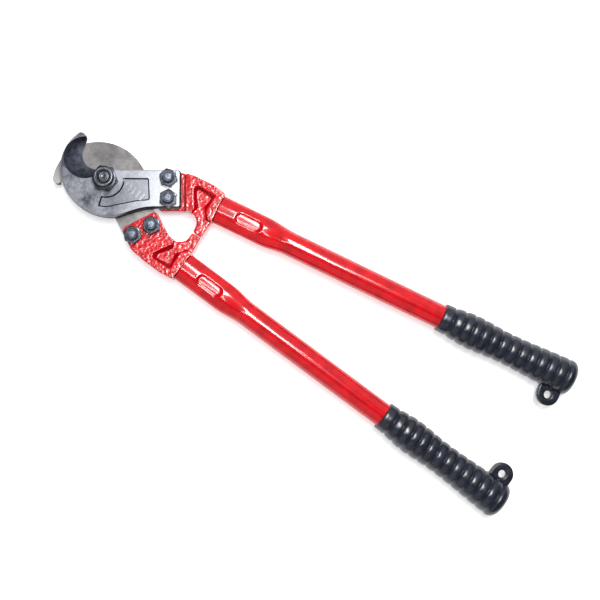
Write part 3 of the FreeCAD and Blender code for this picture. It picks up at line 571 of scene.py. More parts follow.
class Bench:
    """Modelling steps that several pieces share, each made of Blender's own operators."""

    @staticmethod
    def only(obj: bpy.types.Object) -> bpy.types.Object:
        """Select one object and make it active.

        Args:
            obj: the object.

        Returns:
            The same object.
        """
        bpy.ops.object.select_all(action="DESELECT")
        obj.select_set(True)
        bpy.context.view_layer.objects.active = obj
        return obj

    @staticmethod
    def edit(obj: bpy.types.Object, kind: str = "VERT") -> None:
        """Open an object in edit mode with nothing selected.

        Args:
            obj: the object.
            kind: VERT, EDGE or FACE.
        """
        Bench.only(obj)
        bpy.ops.object.mode_set(mode="EDIT")
        bpy.ops.mesh.select_mode(type=kind)
        bpy.ops.mesh.select_all(action="DESELECT")

    @staticmethod
    def done() -> None:
        """Leave edit mode."""
        bpy.ops.object.mode_set(mode="OBJECT")

    @staticmethod
    def pick(obj: bpy.types.Object, wanted: Callable[[Vector, Vector], bool], kind: str = "FACE") -> int:
        """Select faces or vertices by their middle and normal, from object mode, and return to edit mode.

        Args:
            obj: the object, in edit mode.
            wanted: tells of a place and a normal whether the item is wanted.
            kind: FACE or VERT.

        Returns:
            How many were selected.
        """
        bpy.ops.mesh.select_mode(type=kind)
        bpy.ops.mesh.select_all(action="DESELECT")
        Bench.done()
        count = 0
        if kind == "FACE":
            for face in obj.data.polygons:
                face.select = wanted(face.center, face.normal)
                count += face.select
        else:
            for vertex in obj.data.vertices:
                vertex.select = wanted(vertex.co, vertex.normal)
                count += vertex.select
        bpy.ops.object.mode_set(mode="EDIT")
        return count

    @staticmethod
    def close(obj: bpy.types.Object, merge: float = 1e-4) -> None:
        """Merge doubles and turn the faces outwards.

        Args:
            obj: the object.
            merge: merging distance.
        """
        Bench.edit(obj)
        bpy.ops.mesh.select_all(action="SELECT")
        bpy.ops.mesh.remove_doubles(threshold=merge)
        bpy.ops.mesh.normals_make_consistent(inside=False)
        Bench.done()

    @staticmethod
    def lathe(name: str, rings: Sequence[tuple[float, ...]], sides: int = 64,
              loop: bool = False) -> bpy.types.Object:
        """Turn a profile about Z by extruding and scaling a circle from ring to ring.

        Args:
            name: the object's name.
            rings: (height, radius) or (height, radius in X, radius in Y) of each ring.
            sides: corners of the circle.
            loop: whether the last ring joins the first; otherwise both ends get a face.

        Returns:
            The closed object.
        """
        full = [(r[0], r[1], r[-1]) for r in rings]
        bpy.ops.object.select_all(action="DESELECT")
        bpy.ops.mesh.primitive_circle_add(vertices=sides, radius=1.0, location=(0, 0, 0))
        obj = bpy.context.object
        obj.name = name
        z, rx, ry = full[0]
        bpy.ops.object.mode_set(mode="EDIT")
        bpy.ops.mesh.select_mode(type="VERT")
        bpy.ops.mesh.select_all(action="SELECT")
        bpy.ops.transform.resize(value=(rx, ry, 1), center_override=(0, 0, 0))
        bpy.ops.transform.translate(value=(0, 0, z))
        if not loop:
            bpy.ops.mesh.edge_face_add()
        for low, high in zip(full, full[1:] + (full[:1] if loop else [])):
            bpy.ops.mesh.extrude_region_move(TRANSFORM_OT_translate={"value": (0, 0, high[0] - low[0])})
            bpy.ops.transform.resize(value=(high[1] / low[1], high[2] / low[2], 1),
                                     center_override=(0, 0, high[0]))
        Bench.done()
        Bench.close(obj)
        return obj

    @staticmethod
    def plate(name: str, corners: Sequence[Point], low: float, high: float) -> bpy.types.Object:
        """Flat plate: an outline drawn corner by corner from one vertex, filled and extruded.

        Args:
            name: the object's name.
            corners: the outline.
            low: height of its underside.
            high: height of its top.

        Returns:
            The closed object.
        """
        bpy.ops.object.select_all(action="DESELECT")
        bpy.ops.mesh.primitive_plane_add(size=1.0, location=(0, 0, 0))
        obj = bpy.context.object
        obj.name = name
        bpy.ops.object.mode_set(mode="EDIT")
        bpy.ops.mesh.select_mode(type="VERT")
        bpy.ops.mesh.select_all(action="SELECT")
        bpy.ops.mesh.merge(type="CENTER")
        bpy.ops.transform.translate(value=(*corners[0], low))
        for (x, y), (next_x, next_y) in zip(corners, corners[1:]):
            bpy.ops.mesh.extrude_vertices_move(TRANSFORM_OT_translate={"value": (next_x - x, next_y - y, 0)})
        bpy.ops.mesh.select_all(action="SELECT")
        bpy.ops.mesh.edge_face_add()
        bpy.ops.mesh.extrude_region_move(TRANSFORM_OT_translate={"value": (0, 0, high - low)})
        Bench.done()
        Bench.close(obj)
        return obj

    @staticmethod
    def rounded(corners: Sequence[Corner], steps: int = 5) -> list[Point]:
        """Outline with its corners rounded off by arcs.

        Args:
            corners: X, Y and radius of each corner.
            steps: pieces of each arc.

        Returns:
            The points of the outline.
        """
        points: list[Point] = []
        count = len(corners)
        for i, (x, y, radius) in enumerate(corners):
            here = Vector((x, y))
            before = Vector(corners[i - 1][:2]) - here
            after = Vector(corners[(i + 1) % count][:2]) - here
            half = before.angle(after) / 2
            reach = radius / math.tan(half)
            first, last = here + before.normalized() * reach, here + after.normalized() * reach
            for k in range(steps + 1):
                t = k / steps
                bend = (first * (1 - t) ** 2 + here * 2 * t * (1 - t) + last * t ** 2)
                points.append((bend.x, bend.y))
        return points

    @staticmethod
    def modify(obj: bpy.types.Object, kind: str, **settings: Any) -> None:
        """Add a modifier and apply it.

        Args:
            obj: the object.
            kind: the modifier's type.
            settings: its settings.
        """
        Bench.only(obj)
        bpy.ops.object.modifier_add(type=kind)
        modifier = obj.modifiers[-1]
        for key, value in settings.items():
            setattr(modifier, key, value)
        bpy.ops.object.modifier_apply(modifier=modifier.name)

    @staticmethod
    def combine(obj: bpy.types.Object, other: bpy.types.Object, operation: str) -> None:
        """Boolean with another object, which is used up.

        Args:
            obj: the object that stays.
            other: the object it is combined with.
            operation: UNION, DIFFERENCE or INTERSECT.
        """
        Bench.modify(obj, "BOOLEAN", object=other, operation=operation, solver="EXACT")
        bpy.data.objects.remove(other, do_unlink=True)

    @staticmethod
    def fuse(objects: Sequence[bpy.types.Object]) -> bpy.types.Object:
        """Join several objects into the first.

        Args:
            objects: what is joined.

        Returns:
            The first object.
        """
        bpy.ops.object.select_all(action="DESELECT")
        for obj in objects:
            obj.select_set(True)
        bpy.context.view_layer.objects.active = objects[0]
        bpy.ops.object.join()
        return objects[0]

    @staticmethod
    def move(obj: bpy.types.Object, matrix: Matrix) -> bpy.types.Object:
        """Apply a placement to the mesh.

        Args:
            obj: the object.
            matrix: where it goes.

        Returns:
            The same object.
        """
        Bench.only(obj)
        obj.matrix_world = matrix @ obj.matrix_world
        bpy.context.view_layer.update()
        bpy.ops.object.transform_apply(location=True, rotation=True, scale=True)
        return obj

    @staticmethod
    def smooth(obj: bpy.types.Object, angle: float = 32.0) -> None:
        """Smooth shading up to an angle in degrees."""
        Bench.only(obj)
        bpy.ops.object.shade_smooth_by_angle(angle=math.radians(angle))

    @staticmethod
    def copy(obj: bpy.types.Object, name: str) -> bpy.types.Object:
        """Copy of an object with its own mesh.

        Args:
            obj: the object.
            name: the copy's name.

        Returns:
            The copy.
        """
        Bench.only(obj)
        bpy.ops.object.duplicate()
        made = bpy.context.object
        made.name = name
        return made

    @staticmethod
    def dress(obj: bpy.types.Object, finish: bpy.types.Material,
              others: Iterable[tuple[bpy.types.Material, Callable[[Vector, Vector], bool]]] = ()) -> None:
        """Give a piece its materials.

        Args:
            obj: the piece.
            finish: the material of most of it.
            others: materials of the faces that a test of place and normal picks.
        """
        obj.data.materials.clear()
        obj.data.materials.append(finish)
        for face in obj.data.polygons:
            face.material_index = 0
        for index, (material, wanted) in enumerate(others, 1):
            obj.data.materials.append(material)
            for face in obj.data.polygons:
                if wanted(face.center, face.normal):
                    face.material_index = index


def settle(obj: bpy.types.Object, half: Half, node: str, place: Matrix) -> None:
    """Move a piece to its place and tie it to the frame.

    Args:
        obj: the piece, in millimetres.
        half: the half it rides with.
        node: the CAD node that it stands for.
        place: matrix to its place in metres.
    """
    Bench.move(obj, place)
    obj.name = node + "_detail"
    obj.data.name = obj.name
    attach(obj, half.body)
    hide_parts(node)
    log.info("%s: %d faces on %s", obj.name, len(obj.data.polygons), half.body)


# ---------------------------------------------------------------- sub-assemblies

@dataclass
class Blades:
    """The two forged blades, which keep their CAD shape."""

    finishes: Finishes
    nodes: dict[Half, str] = field(
        default_factory=lambda: {Half.UPPER: "front_blade", Half.LOWER: "rear_blade"})

    def build(self) -> None:
        """Dress both CAD blades."""
        for half, node in self.nodes.items():
            obj = frame["nodes"][node]
            for slot in obj.material_slots:
                slot.material = self.finishes.blades[half]
            log.info("%s: CAD node with %s", node, self.finishes.blades[half].name)


@dataclass
class Castings:
    """The two cast yokes between the blades and the tubes."""

    finishes: Finishes
    step_x: float = 61.9
    tang_foot: float = -22.4
    tang_top: float = 8.1
    tang_width: float = 30.5
    socket_half: float = 13.0
    half_thickness: float = 8.0
    web: float = 4.6
    lug_width: float = 7.8
    lug_face: float = 0.45
    rim_wall: float = 4.8
    socket_wall: float = 6.8
    step_wall: float = 8.3
    recess_corner: float = 2.0
    recess_middle: Point = (76.0, 24.0)
    lug_back: float = 7.9
    seam: float = 0.35
    stem: Point = (5.75, 9.75)
    draft: float = 4.1
    voxel: float = 0.42

    def outlines(self) -> dict[str, list[Corner]]:
        """Corners of the body, the mouth of its recess, the web and the lap, each with its radius.

        Returns:
            The outlines by name.
        """
        lean = math.radians(HANDLE_LEAN)
        out, into = [(SOCKET[0] - self.seam - s * self.socket_half * math.sin(lean),
                      SOCKET[1] + s * self.socket_half * math.cos(lean)) for s in (1, -1)]
        corner = self.recess_corner
        foot = on_tang(self.step_x + 1.6, self.tang_foot - 1.7)
        neck = on_tang(self.step_x + 7.0, self.tang_foot - 4.0)
        low = on_tang(self.step_x + self.step_wall, self.tang_foot - 1.9)
        high = on_tang(self.step_x + self.step_wall - 0.3, self.tang_foot + 0.55 * self.tang_width)
        crown = on_tang(self.step_x + 1.1, self.tang_top - 2.1)
        ceiling = out[1] - self.rim_wall
        right = out[0] - self.socket_wall + 1.2
        span = out[0] - crown[0]
        body = [(*foot, 2.0), (*neck, 1.0), (into[0] - 1.5, into[1] + 0.4, 1.0), (*into, 1.5), (*out, 2.0),
                (out[0] - 0.32 * span, out[1] + 1.0, 30.0), (out[0] - 0.78 * span, out[1] - 0.5, 20.0),
                (*crown, 2.4)]
        mouth = [(low[0] - 3.6, low[1] - 9.0, 1.0), (*low, 1.5), (*high, corner),
                 (high[0] + 1.4, ceiling - 0.4, corner), (right + 0.2, ceiling, corner),
                 (right, into[1] + 4.6, 2 * corner), (right + 4.0, into[1] + 0.7, 3.0),
                 (right + 8.0, into[1] - 9.0, 1.0)]
        lug = SOCKET[0] - self.lug_back
        web = [(neck[0] - 1.5, neck[1] + 1.0, 0.5), (neck[0] + 1.5, neck[1], 4.0),
               (lug - 0.6, into[1] - 5.8, 8.0), (lug - 0.3, self.lug_face, 1.5),
               (lug + self.lug_width, self.lug_face, 1.5), (into[0] - 0.6, into[1] - 0.3, 2.0),
               (into[0] - 1.0, SOCKET[1], 1.0), (right + 1.5, ceiling + 1.4, 1.0),
               (high[0] - 1.7, ceiling + 0.4, 1.0)]
        start = BOLT_X - 9.4
        lap = [(*on_tang(start, self.tang_foot - 1.5), 4.0), (foot[0], foot[1] + 0.2, 3.0),
               (neck[0] - 1.0, neck[1] + 2.0, 1.0), (high[0] - 2.2, ceiling + 0.4, 1.0),
               (out[0] - 0.78 * span, out[1] - 1.0, 2.0),
               (*on_tang(self.step_x - 1.4, self.tang_top - 0.4), 8.0),
               (*on_tang(start, self.tang_top - 0.2), 6.0)]
        return {"body": body, "mouth": mouth, "web": web, "lap": lap}

    def cutter(self, corners: Sequence[Corner], side: int) -> bpy.types.Object:
        """Tapered block that opens the recess of one face, narrow at its floor.

        Args:
            corners: outline of the recess at the face.
            side: 1 for the upper face and -1 for the lower.

        Returns:
            The block.
        """
        top = self.half_thickness + 0.4
        line = Bench.rounded(corners)
        block = Bench.plate("recess", line, 0.0, top - self.web)
        middle = self.recess_middle
        for x, y in line:
            Bench.edit(block)
            if Bench.pick(block, lambda c, n: math.hypot(c.x - x, c.y - y) < 1e-3 and c.z < 1e-3, "VERT"):
                away = Vector((middle[0] - x, middle[1] - y, 0))
                away = away.normalized() * min(self.draft, away.length * 0.6)
                bpy.ops.transform.translate(value=tuple(away))
            Bench.done()
        flip = Matrix.Diagonal((1, 1, side, 1))
        Bench.move(block, flip @ Matrix.Translation((0, 0, self.web)))
        Bench.close(block)
        return block

    def shape(self) -> bpy.types.Object:
        """Model one casting.

        Returns:
            The casting in the upper half's frame.
        """
        lines = self.outlines()
        body = Bench.plate("body", Bench.rounded(lines["body"]), -self.half_thickness, self.half_thickness)
        for side in (1, -1):
            Bench.combine(body, self.cutter(lines["mouth"], side), "DIFFERENCE")
        web = Bench.plate("web", Bench.rounded(lines["web"]), -self.web, self.web)
        lap = Bench.plate("lap", Bench.rounded(lines["lap"]), -self.half_thickness, -0.05)
        stem = Bench.lathe("stem", [(-4.0, *self.stem), (12.0, *self.stem)], 48)
        Bench.move(stem, handle_axis())
        casting = Bench.fuse([web, lap, body, stem])
        Bench.modify(casting, "REMESH", mode="VOXEL", voxel_size=self.voxel)
        Bench.modify(casting, "SMOOTH", factor=0.5, iterations=8)
        skin = bpy.data.textures.new("cast_skin", "CLOUDS")
        skin.noise_scale = 2.4
        skin.noise_depth = 2
        Bench.modify(casting, "DISPLACE", texture=skin, strength=0.42, mid_level=0.58, texture_coords="LOCAL")
        for y in BOLT_YS.values():
            hole = Bench.lathe("hole", [(-12.0, BOLT_RADIUS), (4.0, BOLT_RADIUS)], 32)
            Bench.move(hole, Matrix.Translation((*on_tang(BOLT_X, y), 0)))
            Bench.combine(casting, hole, "DIFFERENCE")
        Bench.smooth(casting, 50.0)
        return casting

    def build(self) -> None:
        """Model both castings."""
        first = self.shape()
        for half in Half:
            piece = Bench.copy(first, "casting")
            Bench.dress(piece, self.finishes.casting)
            settle(piece, half, half.value + "_casting", half.place)
        bpy.data.objects.remove(first, do_unlink=True)


@dataclass
class Handles:
    """Tubes, and the grips on them, along the handle axis."""

    finishes: Finishes
    tube_radius: float = 10.0
    tube_length: float = 309.0
    oval: Point = (8.0, 12.0)
    oval_length: float = 40.0
    blend_length: float = 24.0
    wall: float = 2.0
    crimp_start: float = 14.5
    crimp_length: float = 24.0
    crimp_width: float = 10.0
    crimp_depth: float = 1.0
    crimp_slope: float = 1.8
    grip_start: float = 199.0
    grip_length: float = 118.0
    grip_radii: tuple[float, ...] = (11.8, 14.2, 12.9, 15.1)
    grip_shares: tuple[float, ...] = (0.0, 0.24, 0.48, 1.0)
    end_round: float = 6.5
    groove_count: int = 13
    groove_first: float = 8.9
    groove_pitch: float = 8.3
    groove_depth: float = 1.25
    tab_from_end: float = 13.6
    tab_offset: float = 19.1
    tab_half: float = 9.2
    tab_reach: float = 9.0
    tab_hole: float = 3.1
    tab_thickness: float = 6.0

    def tube(self) -> bpy.types.Object:
        """Model one tube: oval over the stem, then round.

        Returns:
            The tube along Z.
        """
        rings = []
        z = 0.0
        while z < self.oval_length + self.blend_length:
            share = min(max((z - self.oval_length) / self.blend_length, 0.0), 1.0)
            ease = share * share * (3 - 2 * share)
            rings.append((z, *[o + (self.tube_radius - o) * ease for o in self.oval]))
            z += 0.75 if z < self.oval_length else 1.5
        rings += [(z, self.tube_radius) for z in (66.0, 110.0, 155.0, 200.0, 255.0, self.tube_length)]
        obj = Bench.lathe("tube", rings, 96)
        Bench.edit(obj, "FACE")
        Bench.pick(obj, lambda c, n: abs(n.z) > 0.99)
        bpy.ops.mesh.delete(type="ONLY_FACE")
        Bench.done()
        self.press(obj)
        Bench.modify(obj, "SOLIDIFY", thickness=self.wall, offset=-1.0)
        Bench.close(obj)
        Bench.smooth(obj, 40.0)
        return obj

    def press(self, obj: bpy.types.Object) -> None:
        """Press the stadium-shaped crimps into both flats, with sloping sides.

        Args:
            obj: the open tube.
        """
        half = self.crimp_width / 2
        first = self.crimp_start + half
        last = self.crimp_start + self.crimp_length - half
        for vertex in obj.data.vertices:
            along = vertex.co.z - min(max(vertex.co.z, first), last)
            inside = half - math.hypot(along, vertex.co.y)
            share = min(max(inside / self.crimp_slope, 0.0), 1.0)
            dent = self.crimp_depth * share * share * (3 - 2 * share)
            vertex.co.x -= math.copysign(dent, vertex.co.x)

    def crest(self, s: float) -> float:
        """Radius of the ribs along the grip.

        Args:
            s: distance from the grip's rim.

        Returns:
            The radius.
        """
        share = s / self.grip_length
        stops = list(zip(self.grip_shares, self.grip_radii))
        for (start, low), (end, high) in zip(stops, stops[1:]):
            if share <= end:
                blend = (1 - math.cos(math.pi * (share - start) / (end - start))) / 2
                return low + (high - low) * blend
        return self.grip_radii[-1]

    def grip_rings(self) -> list[tuple[float, ...]]:
        """Profile of the ribbed sleeve, from the inside of the rim to the closed end.

        Returns:
            (distance, radius) of each ring.
        """
        bore, rim = self.tube_radius, self.crest(0)
        rings = [(6.0, bore + 0.02), (0.9, bore + 0.03), (0.25, bore + 0.35), (0.0, bore + 0.9),
                 (0.15, rim - 0.35), (0.6, rim)]
        rib = ((0.0, -1.0), (0.35, -0.96), (0.7, -0.74), (1.4, -0.42), (2.4, -0.16), (3.6, -0.03), (5.0, 0.0),
               (6.3, -0.02), (7.2, -0.10), (7.65, -0.24), (7.9, -0.52), (8.05, -0.86))
        rings += [(s, self.crest(s) - d * self.groove_depth) for s, d in
                  ((3.0, 0.0), (5.6, 0.0), (7.4, 0.08), (8.15, 0.25), (8.5, 0.55), (8.66, 0.88))]
        for i in range(self.groove_count):
            start = self.groove_first + i * self.groove_pitch
            for along, depth in rib:
                if i == self.groove_count - 1 and along > 3.0:
                    break
                rings.append((start + along, self.crest(start + along) + depth * self.groove_depth))
        corner = self.grip_length - self.end_round
        radius = self.grip_radii[-1]
        for k in range(0, 9):
            a = math.pi / 2 * k / 8
            rings.append((corner + self.end_round * math.sin(a), radius - self.end_round * (1 - math.cos(a))))
        rings += [(self.grip_length, 5.0), (self.grip_length, 1.5)]
        return rings

    def grip(self) -> bpy.types.Object:
        """Model one grip with its hanging tab.

        Returns:
            The grip along Z, its rim at 0.
        """
        sleeve = Bench.lathe("grip", self.grip_rings(), 96)
        place = self.grip_length - self.tab_from_end
        half, reach = self.tab_half, self.tab_reach
        corners = [(-half, 9.0), (-half, 1.0)]
        for k in range(0, 13):
            a = math.pi * (0.06 + 0.88 * k / 12)
            corners.append((-half * math.cos(a), -reach * math.sin(a)))
        corners += [(half, 1.0), (half, 9.0)]
        tab = Bench.plate("tab", corners, -self.tab_thickness / 2, self.tab_thickness / 2)
        hole = Bench.lathe("hole", [(-6.0, self.tab_hole), (6.0, self.tab_hole)], 40)
        Bench.combine(tab, hole, "DIFFERENCE")
        Bench.modify(tab, "BEVEL", width=1.1, segments=4, limit_method="ANGLE", angle_limit=math.radians(50))
        lay = Matrix(((0, 0, -1, 0), (0, 1, 0, -self.tab_offset), (1, 0, 0, place), (0, 0, 0, 1)))
        Bench.move(tab, lay)
        Bench.combine(sleeve, tab, "UNION")
        Bench.close(sleeve, 1e-3)
        Bench.smooth(sleeve, 48.0)
        return sleeve

    def build(self) -> None:
        """Model the tubes and the grips."""
        tube, grip = self.tube(), self.grip()
        axis = handle_axis()
        rim = Matrix.Translation((0, 0, self.grip_start))
        for half in Half:
            piece = Bench.copy(tube, "tube")
            Bench.dress(piece, self.finishes.tube)
            settle(piece, half, half.value + "_tube", half.place @ axis)
            piece = Bench.copy(grip, "grip")
            Bench.dress(piece, self.finishes.grip)
            settle(piece, half, half.value + "_grip", half.place @ axis @ rim)
        for obj in (tube, grip):
            bpy.data.objects.remove(obj, do_unlink=True)


@dataclass
class LockNut:
    """Sizes of a lock nut and its bolt."""

    radius: float
    flats: float
    hexagon: float
    height: float
    collar: float
    ring: float
    past: float
    tip: float
    seat: float
    shank: float
    head_flats: float
    head: float
    head_seat: float
    lock_height: float = 2.4
    lock_sink: float = 0.5

    @staticmethod
    def prism(flats: float, low: float, high: float, crown: bool, foot: bool) -> bpy.types.Object:
        """Hexagon with turned-off corners.

        Args:
            flats: width across flats.
            low: its underside.
            high: its top.
            crown: whether its corners are turned off at the top.
            foot: the same at the underside.

        Returns:
            The hexagon.
        """
        corner = flats / 2 / math.cos(math.pi / 6)
        bpy.ops.object.select_all(action="DESELECT")
        bpy.ops.mesh.primitive_cylinder_add(vertices=6, radius=corner, depth=high - low,
                                            location=(0, 0, (high + low) / 2))
        prism = Bench.move(bpy.context.object, Matrix.Identity(4))
        flat = flats / 2 + 0.22
        rise = (corner - flat) * 0.60
        below = [(low - 0.01, flat), (low + rise, corner + 0.01)] if foot else [(low - 0.01, corner + 1)]
        above = [(high - rise, corner + 0.01), (high + 0.01, flat)] if crown else [(high + 0.01, corner + 1)]
        turned = Bench.lathe("turned", below + above, 72)
        Bench.combine(prism, turned, "INTERSECT")
        Bench.modify(prism, "BEVEL", width=0.18, segments=2, limit_method="ANGLE",
                     angle_limit=math.radians(40))
        return prism

    def nut(self) -> bpy.types.Object:
        """Model the nut.

        Returns:
            The nut, its axis on Z.
        """
        top = self.seat + self.height
        shoulder = self.seat + self.hexagon
        inner = self.radius + self.ring
        wall = self.collar - inner
        floor = top - self.lock_height
        collar = [(shoulder - 1.0, self.collar + 0.9), (shoulder - 0.1, self.collar + 0.85),
                  (shoulder + 0.35, self.collar)]
        bend = wall * 0.85
        for k in range(0, 9):
            a = math.pi / 2 * k / 8
            collar.append((top - bend + bend * math.sin(a), self.collar - bend * (1 - math.cos(a))))
        collar += [(top - 0.05, inner + 0.12), (top - 0.3, inner), (floor, inner), (floor, 1.0)]
        nut = self.prism(self.flats, self.seat, shoulder, crown=True, foot=True)
        Bench.combine(nut, Bench.lathe("collar", collar, 72), "UNION")
        bore = Bench.lathe("bore", [(self.seat - 1, self.radius), (top + 1, self.radius)], 72)
        Bench.combine(nut, bore, "DIFFERENCE")
        Bench.close(nut, 1e-3)
        Bench.smooth(nut, 38.0)
        return nut

    def bolt(self, dished: bool) -> bpy.types.Object:
        """Model the bolt with its head down.

        Args:
            dished: whether its end is a stub with a recess.

        Returns:
            The bolt, its axis on Z.
        """
        end = self.seat + self.height + self.past
        r, tip = self.radius, self.tip
        rings = [(self.head_seat, self.shank), (self.seat, self.shank), (self.seat, r), (end - 2.1, r)]
        if dished:
            rings += [(end - 1.75, r), (end - 1.55, r - 0.15), (end - 1.35, r - 0.75),
                      (end - 1.3, tip + 0.35), (end - 1.2, tip), (end - 0.35, tip),
                      (end - 0.05, tip - 0.35), (end, tip - 0.75), (end - 0.1, tip - 1.15),
                      (end - 0.55, tip - 1.6), (end - 0.7, 0.6)]
        else:
            rings += [(end - 1.15, r), (end - 0.75, r - 0.22), (end - 0.45, r - 0.62), (end - 0.15, r - 1.15),
                      (end - 0.03, tip + 0.15), (end, tip - 0.1), (end, 1.0)]
        shank = Bench.lathe("shank", rings, 64)
        head = self.prism(self.head_flats, self.head_seat - self.head, self.head_seat, crown=False, foot=True)
        Bench.combine(head, shank, "UNION")
        Bench.close(head, 1e-3)
        Bench.smooth(head, 38.0)
        return head

    def lock(self) -> bpy.types.Object:
        """Model the nylon ring.

        Returns:
            The ring, its axis on Z.
        """
        top = self.seat + self.height
        low, high = top - self.lock_height, top - self.lock_sink
        inner, outer = self.radius, self.radius + self.ring
        soft = min(0.3, self.ring / 3)
        rings = [(low, inner), (low, outer), (high - soft, outer), (high - soft / 3, outer - soft / 3),
                 (high, outer - soft), (high, inner + soft), (high - soft, inner)]
        ring = Bench.lathe("lock", rings, 64, loop=True)
        Bench.smooth(ring, 50.0)
        return ring


@dataclass
class Fasteners:
    """Pivot bolt, blade bolts and all their nuts."""

    finishes: Finishes
    washer: tuple[float, float, float, float] = (6.0, 12.0, -9.5, -8.0)
    nut_turns: dict[str, float] = field(default_factory=lambda: {
        "upper_outer": -15.0, "upper_inner": -31.0, "lower_outer": -17.0, "lower_inner": -32.0})
    pivot_turn: float = -8.0

    def dress_nut(self, obj: bpy.types.Object, sizes: LockNut, lighter_tone: bool) -> None:
        """Oxide all over, but for a painted highlight on the rolled rim, or on the hexagon's top.

        Args:
            obj: the nut.
            sizes: its sizes.
            lighter_tone: whether the painted highlight goes on the hexagon's top, rather than the rim.
        """
        top = sizes.seat + sizes.height
        inner = sizes.radius + sizes.ring + 0.05
        rim = top - 1.3
        shoulder = sizes.seat + sizes.hexagon - 1.0
        # Painted highlight: the bright steel goes on the hexagon's upward faces, or on the collar's rim.
        if lighter_tone:
            others = [(self.finishes.bright, lambda c, n: c.z > shoulder and n.z > 0.3
                       and math.hypot(c.x, c.y) > sizes.collar)]
        else:
            others = [(self.finishes.bright, lambda c, n: c.z > rim and n.z > 0.10
                       and math.hypot(c.x, c.y) > inner)]
        Bench.dress(obj, self.finishes.oxide, others)

    def dress_bolt(self, obj: bpy.types.Object, sizes: LockNut, dished: bool) -> None:
        """Bright end on a dark bolt.

        Args:
            obj: the bolt.
            sizes: its sizes.
            dished: whether its end is a stub with a recess.
        """
        end = sizes.seat + sizes.height + sizes.past
        inside = sizes.tip + 0.05
        others = [(self.finishes.stub, lambda c, n: c.z > end - 1.25 and math.hypot(c.x, c.y) < inside)]
        if dished:
            others.append((self.finishes.brown, lambda c, n: c.z > end - 2.2
                           and math.hypot(c.x, c.y) > inside))
        Bench.dress(obj, self.finishes.oxide, others)

    def make(self, sizes: LockNut, dished: bool) -> dict[str, bpy.types.Object]:
        """Model and dress one nut with its bolt and lock ring.

        Args:
            sizes: their sizes.
            dished: whether the bolt ends in a stub, and the painted highlight is on the nut's rim.

        Returns:
            The pieces by the last word of their nodes' names.
        """
        made = {"nut": sizes.nut(), "bolt": sizes.bolt(dished), "lock_ring": sizes.lock()}
        self.dress_nut(made["nut"], sizes, lighter_tone=not dished)
        self.dress_bolt(made["bolt"], sizes, dished)
        Bench.dress(made["lock_ring"], self.finishes.nylon)
        return made

    def build(self) -> None:
        """Model every bolt, nut, lock ring and the washer."""
        pivot = self.make(LockNut(
            radius=5.0, flats=18.0, hexagon=8.0, height=11.5, collar=7.6, ring=1.2, past=1.6, tip=3.4,
            seat=8.05, shank=6.0, head_flats=18.0, head=7.5, head_seat=-9.5), dished=True)
        turn = Matrix.Rotation(math.radians(self.pivot_turn), 4, "Z")
        settle(pivot["nut"], Half.LOWER, "pivot_nut", LEVEL @ turn)
        settle(pivot["bolt"], Half.LOWER, "pivot_bolt", LEVEL)
        settle(pivot["lock_ring"], Half.LOWER, "pivot_lock_ring", LEVEL)
        inner, outer, low, high = self.washer
        rings = [(low, inner), (low, outer - 0.3), (low + 0.3, outer), (high - 0.3, outer),
                 (high, outer - 0.3), (high, inner)]
        washer = Bench.lathe("washer", rings, 72, loop=True)
        Bench.smooth(washer, 30.0)
        Bench.dress(washer, self.finishes.oxide)
        settle(washer, Half.LOWER, "pivot_washer", LEVEL)

        # Every nut is on the upper side, so the lower half's set isn't turned over with it.
        blade_set = self.make(LockNut(
            radius=BOLT_RADIUS, flats=13.0, hexagon=5.4, height=8.0, collar=5.45, ring=0.7, past=1.2, tip=2.5,
            seat=8.0, shank=BOLT_RADIUS, head_flats=13.0, head=5.3, head_seat=-8.0), dished=False)
        for half in Half:
            for name, across in BOLT_YS.items():
                x, y = on_tang(BOLT_X, across)
                place = LEVEL @ Matrix.Translation((x, half.side * y, 0))
                label = half.value + "_" + name
                turn = Matrix.Rotation(math.radians(self.nut_turns[label]), 4, "Z")
                for kind, slot, where in (("nut", "black_steel", place @ turn), ("bolt", "black_steel", place),
                                          ("lock_ring", "lock_ring", place)):
                    settle(Bench.copy(blade_set[kind], kind), half, label + "_" + kind, where)
        for obj in blade_set.values():
            bpy.data.objects.remove(obj, do_unlink=True)


# ---------------------------------------------------------------- studio

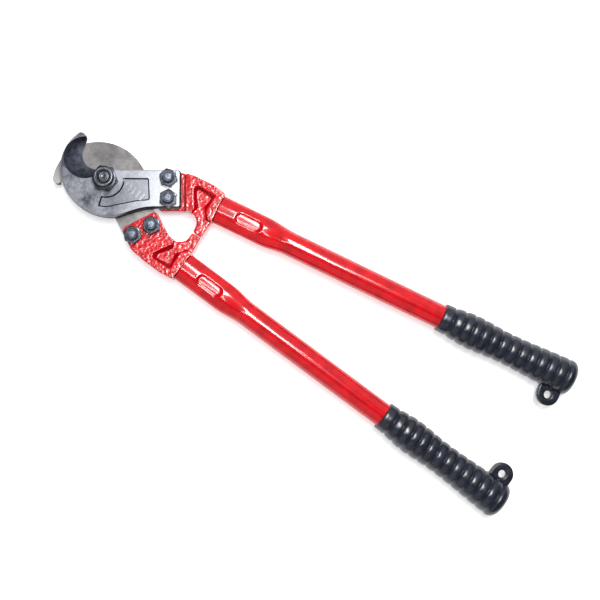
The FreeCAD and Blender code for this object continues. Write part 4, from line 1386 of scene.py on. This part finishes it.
@dataclass
class Studio:
    """Floor, lights, surroundings and camera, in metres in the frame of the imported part."""

    camera_at: tuple[float, float, float] = (0.00505, -0.06252, 0.7456)
    camera_turn: tuple[float, float, float] = (4.2853, -2.1844, 31.1361)
    lens: float = 54.459
    sensor: float = 36.0
    floor_size: float = 6.0
    air: float = 0.13

    def floor(self) -> None:
        """Plain pale floor under the tool."""
        bpy.ops.object.select_all(action="DESELECT")
        bpy.ops.mesh.primitive_plane_add(size=self.floor_size, location=(0, 0, -0.0005))
        floor = bpy.context.object
        floor.name = "studio_floor"
        g = Graph("floor_paper")
        cloud = g.noise(g.place(), 0.01, 2.0, 0.5)
        colour = g.mix(cloud.step(0.2, 0.8), (0.93, 0.93, 0.935), (0.90, 0.90, 0.905))
        floor.data.materials.append(g.surface(
            Base_Color=colour, Roughness=0.9, Specular_IOR_Level=0.1, Emission_Color=colour,
            Emission_Strength=0.55))

    @staticmethod
    def lamp(name: str, place: Sequence[float], power: float, size: Point) -> None:
        """Rectangular soft light that faces the tool.

        Args:
            name: the lamp's name.
            place: where it hangs, in metres.
            power: watts.
            size: its sides in metres.
        """
        data = bpy.data.lights.new(name, "AREA")
        data.shape = "RECTANGLE"
        data.size, data.size_y = size
        data.energy = power
        lamp = bpy.data.objects.new(name, data)
        bpy.context.collection.objects.link(lamp)
        lamp.location = place
        lamp.rotation_euler = (-Vector(place)).to_track_quat("-Z", "Y").to_euler()

    def surroundings(self) -> None:
        """Even pale light from all round."""
        world = bpy.data.worlds.new("studio_air")
        bpy.context.scene.world = world
        world.use_nodes = True
        back = world.node_tree.nodes["Background"]
        back.inputs[0].default_value = (0.97, 0.98, 1.0, 1.0)
        back.inputs[1].default_value = self.air

    def camera(self) -> None:
        """Camera above the tool, turned as the product view has it."""
        data = bpy.data.cameras.new("view")
        data.lens = self.lens
        data.sensor_width = self.sensor
        camera = bpy.data.objects.new("view", data)
        bpy.context.collection.objects.link(camera)
        camera.location = self.camera_at
        camera.rotation_euler = [math.radians(a) for a in self.camera_turn]
        bpy.context.scene.camera = camera

    def build(self) -> None:
        """Set the studio up."""
        self.camera()
        self.floor()
        self.surroundings()
        self.lamp("cross_light", (-0.10, 0.30, 1.20), 13.0, (0.18, 0.62))
        self.lamp("long_light", (-0.10, 0.06, 1.25), 4.0, (0.80, 0.06))
        self.lamp("left_panel", (0.0, 1.15, 0.75), 3.4, (1.0, 1.5))
        self.lamp("right_panel", (0.0, -1.15, 0.75), 2.6, (1.0, 1.5))
        scene = bpy.context.scene
        scene.view_settings.view_transform = "Standard"
        scene.view_settings.look = "None"


def main() -> None:
    """Build the studio and every sub-assembly, in order."""
    logging.basicConfig(level=logging.INFO, format="%(message)s")
    Studio().build()
    finishes = Finishes()
    for assembly in (Blades(finishes), Castings(finishes), Handles(finishes), Fasteners(finishes)):
        assembly.build()


if __name__ == "__main__":
    main()
